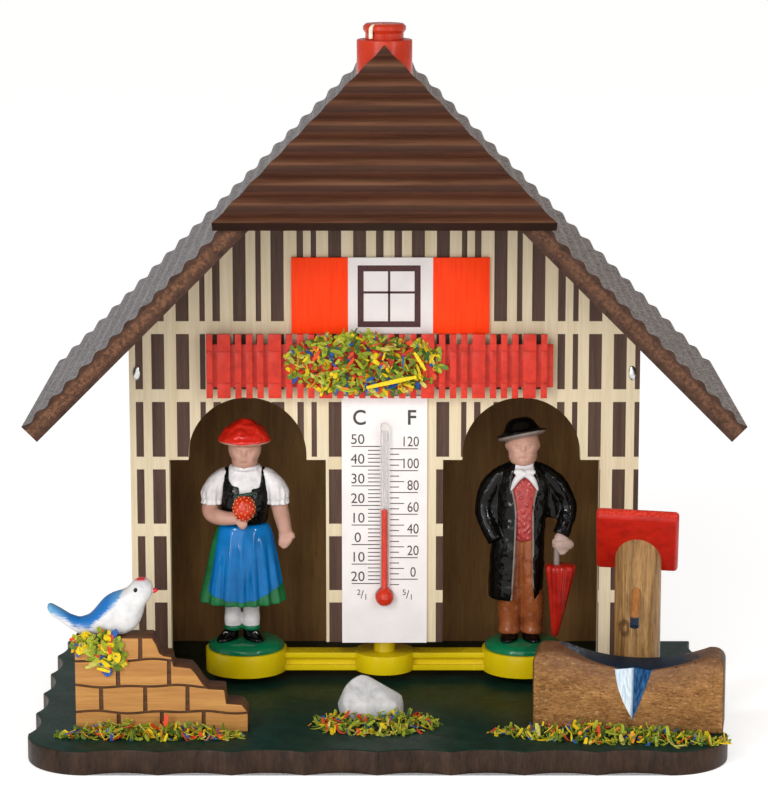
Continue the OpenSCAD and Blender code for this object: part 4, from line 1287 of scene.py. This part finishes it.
# doll heads: a skull, jaw and neck fused, then the plain features pressed in
def dollHead(place, middle, neckFoot, jaw, ears):
    x, y, z = middle
    head = fuse([
        ballAt(place, (x, y + 0.3, z + 1.1), (3.65, 3.8, 3.8), 32, 24),
        ballAt(place, (x, y - 0.4, z - 1.4), (2.95 * jaw, 3.0, 2.8), 32, 24),
        limbAt(place, [(x, y + 0.5, z - 2.5, 2.0), (x, y + 0.5, neckFoot, 2.1)])], 0.2, 5)
    face = y - 3.6
    spots = [  # nose
        (x, face - 0.3, z - 0.6, 0.58, 1.05), (x, face - 0.1, z + 0.3, 0.42, 0.5),
        (x, face, z + 1.1, 0.42, 0.25)]
    for side in (-1, 1):
        spots += [
            (x + side * 1.4, face + 0.1, z + 0.75, 0.75, -0.55),  # eye hollow
            (x + side * 1.4, face + 0.1, z + 0.7, 0.42, 0.72),  # eye
            (x + side * 1.7, face + 0.6, z - 0.9, 0.9, 0.35),  # cheek
            (x + side * 0.5, face - 0.2, z - 0.95, 0.35, 0.2),  # nostril
            (x + side * 3.5, y + 0.4, z + 0.5, 0.8, ears)]
        spots += [  # brow and lower lid
            (x + side * (0.8 + 0.6 * k), face + 0.1 + 0.1 * k, z + 1.65, 0.45, 0.32) for k in range(3)]
        spots += [(x + side * (0.95 + 0.45 * k), face + 0.15, z + 0.4, 0.28, -0.24) for k in range(3)]
    spots += [(x - 0.75 + 0.5 * k, face + 0.1, z - 1.7, 0.3, -0.38) for k in range(4)]  # mouth
    spots += [(x, face, z - 2.2, 0.5, 0.35), (x, face + 0.4, z - 3.2, 0.7, 0.35)]  # lip and chin
    return press(head, place, spots)


# palm, four bent fingers with round tips that lean with turn, and a thumb on the other side
def hand(place, palm, turn, k):
    x, y, z = palm
    parts = [ballAt(place, palm, (1.3 * k, 1.25, 1.7 * k), 20, 14)]
    for i, share in enumerate((0.78, 1.0, 0.96, 0.7)):
        spread, drop = (-0.9 + 0.6 * i) * k, k * share
        parts.append(limbAt(place, [
            (x + spread * 0.9, y - 0.7, z - 0.6 * drop, 0.42 * k),
            (x + spread * 0.95 + turn * 0.2, y - 1.2, z - 1.3 * drop, 0.4 * k),
            (x + spread * 0.8 + turn * 0.3, y - 0.8, z - 1.8 * drop, 0.34 * k)]))
        tip = (x + spread * 0.75 + turn * 0.3, y - 0.8, z - 1.9 * drop)
        parts.append(ballAt(place, tip, (0.4 * k, 0.42 * k, 0.42 * k), 12, 8))
    parts.append(limbAt(place, [
        (x - turn * 1.1 * k, y - 0.4, z + 0.4, 0.45 * k), (x - turn * 1.3 * k, y - 1.2, z - 0.5, 0.38 * k)]))
    return parts


# both figures stand in black shoes on a round green foot; heights and radii, then the shoe's rows
stance = {
    "foot": [
        (-3, 1.9), (-0.02, 1.9), (0, 8.2), (0.12, 8.4), (0.8, 8.4), (1.2, 8.2), (1.85, 7.0), (2.1, 6.2)],
    "shoe": [
        (0, -1.6, 2.05, 1.75, 3.4), (0, -1.6, 2.3, 1.95, 3.65), (0, -1.4, 2.9, 1.85, 3.4),
        (0, -0.8, 3.4, 1.65, 2.6), (0, 0.1, 4.0, 1.5, 1.9), (0, 0.2, 4.3, 1.45, 1.7)],
    "apart": 2.1,
}


def buildStance(place, figure, centre, splay):
    s = stance
    wear(ringsAt(place, [(0, 0, z, r, r) for z, r in s["foot"]], 64), figure, "Plinth", "foot", 40)
    shoes = stamp(ringLoft(s["shoe"], 24), [
        Matrix.Translation(Vector((place[0] + centre + side * s["apart"], place[1], place[2])) * mm)
        @ Matrix.Rotation(math.radians(side * splay), 4, "Z") for side in (-1, 1)])
    wear(fuse(shoes, 0.22, 3), figure, "Shoes", "black")


woman = {
    "place": (-30.8, 11.5, 12.1), "centre": -1.2, "splay": 30, "legs": (2.05, -0.9),
    "leg": [
        (0, 0.3, 4.6, 1.6, 1.7), (0, 0.3, 5.0, 1.85, 1.9), (0, 0.3, 6.6, 1.95, 2.0), (0, 0.4, 8.4, 1.8, 1.9),
        (0, 0.4, 11, 1.9, 1.9)],
    "ankle": upright(0, 0.3, [(4.0, 1.7, 1.8), (4.3, 2.0, 2.1), (4.9, 2.0, 2.1), (5.2, 1.8, 1.9)]),
    "torso": [
        (0, 0, 27.8, 4.7, 3.7), (0, -0.2, 30, 4.8, 3.9), (0, -0.4, 33, 5.1, 4.2), (0, -0.2, 36, 5.4, 4.0),
        (0, 0, 38.6, 5.5, 3.5), (0, 0.1, 40.2, 5.0, 2.9), (0, 0.1, 41.1, 3.8, 2.4), (0, 0.1, 41.5, 2.6, 2.0)],
    "skirt": [
        (-0.75, 0.4, 10.5, 8.9, 6.4), (-0.75, 0.4, 10.7, 9.3, 6.7), (-0.75, 0.4, 11.4, 9.35, 6.7),
        (-0.7, 0.3, 15, 8.6, 6.2), (-0.6, 0.2, 21, 7.6, 5.6), (-0.5, 0.1, 26, 6.6, 4.9),
        (-0.4, 0, 28.2, 5.7, 4.2), (-0.4, 0, 28.8, 5.0, 3.7)],
    "bodice": [
        (-4.8, 42.5), (-5.0, 37), (-5.5, 33), (-5.6, 28.2), (5.7, 28.2), (5.6, 33), (5.2, 38), (5.1, 42.5),
        (3.7, 42.5), (3.6, 38.4), (3.3, 37), (1.6, 36.8), (1.1, 34), (1.0, 31), (-1.0, 31), (-1.1, 34),
        (-1.2, 37.2), (-2.8, 37.6), (-3.4, 38.8), (-3.5, 42.5)],
    "apron": [
        (-5.4, 29.2), (-6.1, 25), (-8.2, 13.7), (-6.6, 12.7), (-3.7, 12), (-0.2, 11.8), (2.9, 12.3),
        (5.5, 13.6), (8.2, 15), (7.0, 24), (6.1, 29.2)],
    "stitches": (14.9, 15.9),
    "sleeve": [
        (7.1, -0.2, 32.8, 2.55, 2.7), (7.1, -0.2, 33.1, 2.75, 2.9), (7.0, -0.2, 33.7, 2.45, 2.6),
        (7.0, -0.2, 34.0, 2.45, 2.6), (7.0, -0.2, 34.7, 2.8, 3.0), (6.8, -0.1, 36, 2.9, 3.1),
        (6.2, 0, 37.8, 2.65, 2.9), (5.2, 0.1, 39.5, 2.0, 2.4), (4.2, 0.1, 40.9, 1.0, 1.6)],
    "arms": (
        [(-7.1, -0.2, 34.2, 1.9), (-7.9, -0.7, 32.0, 1.95), (-7.2, -2.2, 30.5, 1.85), (-4, -4.2, 30.2, 1.65),
         (-1.2, -5.2, 30.6, 1.35)],
        [(7.2, -0.2, 34, 1.95), (8.0, -0.4, 30.4, 1.9), (8.7, -0.9, 27.6, 1.6), (8.9, -1.1, 26.6, 1.5)]),
    "berry": (0, -6.0, 33.0), "berrySize": (2.5, 2.3, 2.85), "seeds": 84, "seedTurn": 2.39996,
    "hat": upright(0, 0.2, [
        (47.0, 4.4, 4.3), (47.05, 5.7, 5.5), (47.35, 6.0, 5.8), (47.8, 5.7, 5.5), (48.8, 5.0, 4.9),
        (49.9, 4.0, 3.9), (51.0, 2.6, 2.6), (51.7, 1.3, 1.3)]),
    "brim": upright(0, 0.2, [(46.5, 3.9, 3.8), (46.6, 5.0, 4.9), (46.9, 5.7, 5.5), (47.15, 5.75, 5.55)]),
}


def womanClothes(s, place):
    skirt = ringsAt(place, s["skirt"], 48)
    subdivide(skirt, 2)
    flute(skirt, place, 15, 0.5, 10.4, 27)
    apron = widen(twin(skirt), place, 1.035)
    for v in apron.data.vertices:
        z = v.co.z / mm - place[2]
        swell = 0.16 * sum(math.exp(-((z - level) / 0.3) ** 2) for level in s["stitches"])
        v.co.y += (swell if v.co.y > place[1] * mm else -swell) * mm
    trim(apron, place, s["apron"], -20, -0.6, "INTERSECT")
    wear(skirt, "woman", "Skirt", "green")
    wear(apron, "woman", "Apron", "blue", 50)
    torso = ringsAt(place, s["torso"], 32)
    subdivide(torso, 2)
    bodice = widen(twin(torso), place, 1.07)
    trim(bodice, place, s["bodice"], -20, 20, "INTERSECT")
    wear(crumple(remesh(bodice, 0.2, 2), 0.8, 0.2), "woman", "Bodice", "black")
    flute(torso, place, 26, 0.12, 30, 40)
    parts = [torso]
    for side in (-1, 1):
        sleeve = ringsAt(place, [(side * row[0],) + row[1:] for row in s["sleeve"]], 32)
        subdivide(sleeve, 1)
        parts.append(flute(sleeve, (place[0] + side * 7.0, place[1] - 0.2, place[2]), 13, 0.3, 32, 39))
    ruff = hoop((place[0], place[1] - 0.1, place[2] + 41.2), 2.9, 0.55, 56, 10)
    parts.append(flute(ruff, place, 17, 0.3, 40, 41.6))
    wear(crumple(fuse(parts, 0.22, 2), 1.3, 0.3), "woman", "Blouse", "white")


# a berry with seeds set round it in a spiral, and leaves on top
def womanPosy(s, place):
    x, y, z = s["berry"]
    wide, deep, tall = s["berrySize"]
    posy = ballAt(place, s["berry"], s["berrySize"], 40, 28)
    wear(crumple(posy, 0.7, 0.3), "woman", "Posy", "berry")
    seeds = []
    for i in range(s["seeds"]):
        up = 1 - 2 * (i + 0.5) / s["seeds"]
        turn = i * s["seedTurn"]
        ring = math.sqrt(1 - up * up)
        spot = (x + wide * ring * math.cos(turn), y + deep * ring * math.sin(turn), z + tall * up)
        seeds.append(ballAt(place, spot, (0.15, 0.15, 0.22), 8, 6))
    wear(join(seeds), "woman", "PosySeeds", "gold")
    leaves = [ballAt(place, (out, y + 0.4, z + 2.7 + 0.15 * k), (0.9, 0.7, 0.45), 14, 10)
              for k, out in enumerate((-1.4, -0.3, 0.8, 1.6))]
    wear(fuse(leaves, 0.2, 2), "woman", "PosyLeaves", "leaf")


def buildWoman():
    s = woman
    place = s["place"]
    buildStance(place, "woman", s["centre"], s["splay"])
    legs, ankles = [], []
    for side in (-1, 1):
        foot = (side * s["legs"][0] + s["legs"][1] + place[0], place[1], place[2])
        legs.append(ringsAt(foot, s["leg"], 20))
        ankles.append(ringsAt(foot, s["ankle"], 24))
    wear(fuse(legs, 0.25, 2), "woman", "Stockings", "white")
    wear(fuse(ankles, 0.2, 2), "woman", "Ankles", "foot")
    womanClothes(s, place)
    wear(dollHead(place, (0, -0.3, 44.2), 40.4, 0.98, 0.0), "woman", "Head", "skin")
    arms = [limbAt(place, rows, 4) for rows in s["arms"]]
    arms += hand(place, (-0.6, -5.0, 30.4), 1, 1.0) + hand(place, (9.0, -1.2, 25.9), -1, 1.3)
    wear(fuse(arms, 0.24, 4), "woman", "Arms", "skin")
    womanPosy(s, place)
    buckles = [
        hoop((place[0] + s["centre"] + side * 3.3, place[1] - 2.3, place[2] + 3.55), 0.5, 0.14, 16, 6, 50)
        for side in (-1, 1)]
    wear(join(buckles), "woman", "Buckles", "steel")
    hat = [ringsAt(place, s["hat"], 40), ballAt(place, (0.1, 0, 50.2), (2.3, 2.2, 1.85), 24, 16)]
    for i in range(6):
        turn = 2 * math.pi * (i + 0.25) / 6
        spot = (3.2 * math.cos(turn), 0.2 + 3.0 * math.sin(turn), 48.9)
        hat.append(ballAt(place, spot, (1.75, 1.75, 1.5), 20, 14))
    wear(crumple(fuse(hat, 0.22, 3), 2.4, 0.7), "woman", "Hat", "hatRed")
    wear(ringsAt(place, s["brim"], 40), "woman", "HatBrim", "skin")


buildWoman()
print("woman built")

man = {
    "place": (30.8, 11.5, 12.1), "centre": -0.6, "splay": 14, "legs": (2.55, -0.4),
    "leg": [  # inward, aside, y, z, rx, ry
        (0, 0, 0, 3.3, 2.2, 2.4), (0, 0, 0, 3.8, 2.5, 2.7), (0, 0, 0.1, 5, 2.35, 2.6),
        (0, 0, 0.2, 8, 2.6, 2.8), (0.2, 0, 0.2, 11, 2.75, 3.0), (0.6, 0.2, 0, 20, 2.7, 3.2),
        (0.7, 0, -0.1, 25.5, 2.5, 3.2)],
    "vest": [
        (0, -0.1, 24.4, 4.0, 3.4), (0, -0.2, 26, 4.3, 3.7), (0, -0.3, 31, 4.4, 3.75), (0, -0.3, 36, 4.6, 3.7),
        (0, -0.1, 39.2, 4.2, 3.0), (0, 0, 40, 3.0, 2.4)],
    "relief": 0.32,
    "coat": [
        (-1.7, 0.2, 11.3, 5.7, 4.5), (-1.7, 0.2, 11.5, 6.1, 4.9), (-1.5, 0.2, 17, 6.15, 4.8),
        (-1.3, 0.1, 24, 5.95, 4.5), (-0.6, 0, 30, 5.55, 4.2), (0, 0, 36, 6.0, 4.2),
        (-0.2, 0.1, 39.4, 6.1, 3.7), (-0.2, 0.2, 41.4, 4.4, 3.0), (-0.3, 0.2, 42.6, 2.7, 2.3)],
    "opening": [
        (-2.8, 10), (-2.1, 24), (-1.8, 33), (-2.8, 37), (-1.6, 44), (1.6, 44), (2.8, 37), (1.8, 33),
        (2.0, 24), (2.2, 10)],
    "sleeves": (
        [(-3.2, 0.1, 40.6, 1.6), (-5.6, 0.1, 39.2, 2.1), (-7.7, 0.2, 36.2, 2.3), (-9.0, 0.4, 32.2, 2.05),
         (-8.2, -1.2, 28.4, 1.95), (-6.2, -2.6, 25.0, 1.9)],
        [(2.8, 0.1, 40.6, 1.6), (5.3, 0.1, 39.2, 2.1), (7.9, 0.2, 36.6, 2.3), (10.0, 0.2, 32.4, 2.0),
         (9.4, -1.4, 29.0, 1.9), (8.0, -2.5, 26.2, 1.95)]),
    "webs": (
        [(-5.4, 0.5, 37.5, 1.9), (-6.8, 0.5, 32.5, 1.8), (-6.2, -0.2, 28.5, 1.6)],
        [(5.0, 0.4, 37.5, 2.0), (6.9, 0.4, 33.0, 2.1), (6.8, 0.1, 29.6, 1.7)]),
    "edges": (
        (-1, [(-2.75, 11.6), (-2.25, 20), (-1.95, 28), (-1.85, 33), (-2.8, 36.8)]),
        (1, [(2.2, 11.6), (2.1, 20), (1.95, 28), (1.85, 33), (2.8, 36.8)])),
    "edge": 0.26,
    "collar": [(-0.2, 0, 40.2, 3.4, 2.9), (-0.2, -0.1, 41.2, 3.1, 2.7), (-0.2, -0.1, 42.2, 2.7, 2.4)],
    "tie": [
        (0.2, -3.5, 40.2, 0.75), (1.5, -3.8, 39.6, 0.85), (2.6, -3.6, 37.4, 0.5), (3.0, -3.4, 36.4, 0.18)],
    "handle": [(7.2, -3.6, 24.6, 0.6), (7.1, -3.8, 22, 0.65), (7.3, -3.7, 19.0, 0.75)],
    "umbrella": [
        (7.0, -3.7, 3.4, 0.4, 0.4), (7.0, -3.7, 3.7, 0.75, 0.7), (7.2, -3.7, 6, 1.15, 1.1),
        (7.6, -3.6, 11, 1.9, 1.7), (8.0, -3.5, 17, 2.85, 2.4), (8.1, -3.5, 19.2, 3.35, 2.8),
        (8.1, -3.5, 19.6, 3.1, 2.6), (8.0, -3.5, 19.9, 2.0, 1.7)],
    "crown": upright(0, 0, [
        (-0.1, 3.8, 3.7), (0.15, 5.5, 5.3), (0.35, 5.7, 5.45), (0.55, 5.4, 5.2), (0.66, 4.25, 4.1),
        (1.5, 3.75, 3.7), (2.7, 3.2, 3.2), (3.45, 2.4, 2.4), (3.85, 1.3, 1.3)]),
    "brim": upright(0, 0, [(-0.9, 3.6, 3.6), (-0.7, 4.8, 4.6), (-0.15, 5.6, 5.4), (0.3, 5.45, 5.25)]),
    # worn back from the brow and higher on one side
    "hatPlace": (-0.5, 0.2, 48.3), "hatLean": -10, "hatBack": -13, "brimLean": -2,
}


def manClothes(s, place):
    legs = []
    for side in (-1, 1):
        x = side * s["legs"][0] + s["legs"][1]
        rows = [(x - side * inward - aside, *rest) for inward, aside, *rest in s["leg"]]
        legs.append(ringsAt(place, rows, 24))
    wear(crumple(fuse(legs, 0.26, 3), 2.2, 0.35), "man", "Trousers", "brown")
    vest = ringsAt(place, s["vest"], 32)
    subdivide(vest, 2)
    remesh(vest, 0.18)
    for v in vest.data.vertices:
        x, z = v.co.x / mm - place[0], v.co.z / mm - place[2]
        curl = math.sin(2.6 * x + 1.4 * math.sin(1.7 * z)) * math.sin(2.3 * z + 1.2 * math.cos(2.0 * x))
        if v.co.y < place[1] * mm:
            v.co.y -= s["relief"] * mm * max(0, curl) * max(0, 1 - (x / 1.9) ** 4)
    wear(vest, "man", "Vest", "vest")
    coat = ringsAt(place, s["coat"], 40)
    subdivide(coat, 2)
    trim(coat, place, s["opening"], -12, -1.6, "DIFFERENCE")
    parts = [limbAt(place, rows, 5) for rows in s["sleeves"]] + [limbAt(place, rows, 4) for rows in s["webs"]]
    coat = crumple(crumple(fuse([coat] + parts, 0.24, 4), 3.0, 0.5), 1.2, 0.12)
    wear(coat, "man", "Coat", "black")
    edges = []
    for side, path in s["edges"]:  # laid on the coat's front
        rows = []
        for x, z in path:
            start = Vector([c * mm for c in (place[0] + x + side * 0.5, place[1] - 20, place[2] + z)])
            hit, spot, normal, face = coat.ray_cast(start, Vector((0, 1, 0)))
            rows.append((x, spot.y / mm - place[1] - 0.05, z, s["edge"]))
        edges.append(limbAt(place, rows))
    wear(fuse(edges, 0.16, 1), "man", "CoatEdges", "grey")
    collar = [ringsAt(place, s["collar"], 32)]
    for side in (-1, 1):
        collar.append(limbAt(place, [(side * row[0],) + row[1:] for row in s["tie"]]))
        collar.append(ballAt(place, (side * 1.2, -3.5, 40.6), (1.3, 0.7, 0.75), 18, 12))
    collar.append(ballAt(place, (0, -3.9, 40.3), (0.6, 0.5, 0.6), 14, 10))
    wear(fuse(collar, 0.18, 2), "man", "Collar", "white")


def buildMan():
    s = man
    place = s["place"]
    buildStance(place, "man", s["centre"], s["splay"])
    manClothes(s, place)
    wear(dollHead(place, (-0.3, -0.2, 45.3), 41, 1.08, 0.3), "man", "Head", "skin")
    fist = hand(place, (8.2, -2.9, 24.9), 1, 1.3)
    fist.append(ballAt(place, (8.6, -3.2, 24.2), (2.5, 1.5, 1.5), 24, 16))
    wear(fuse(fist, 0.2, 4), "man", "Hand", "bareHand")
    wear(limbAt(place, s["handle"]), "man", "UmbrellaHandle", "grey")
    shade = ringsAt(place, s["umbrella"], 48)
    subdivide(shade, 1)
    flute(shade, (place[0] + 7.8, place[1] - 3.6, place[2]), 9, 0.3, 25, 4)
    wear(shade, "man", "Umbrella", "umbrella")
    tilt = Matrix.Translation(Vector([(p + c) * mm for p, c in zip(place, s["hatPlace"])]))
    tilt = tilt @ Matrix.Rotation(math.radians(s["hatLean"]), 4, "Y")
    tilt = tilt @ Matrix.Rotation(math.radians(s["hatBack"]), 4, "X")
    crown, brim = ringLoft(s["crown"], 48), ringLoft(s["brim"], 48)
    subdivide(crown, 1)
    subdivide(brim, 1)
    crown.data.transform(tilt)
    brim.data.transform(tilt @ Matrix.Rotation(math.radians(s["brimLean"]), 4, "Y"))
    wear(crown, "man", "Hat", "black")
    wear(brim, "man", "HatBrim", "grey")


buildMan()
print("man built")
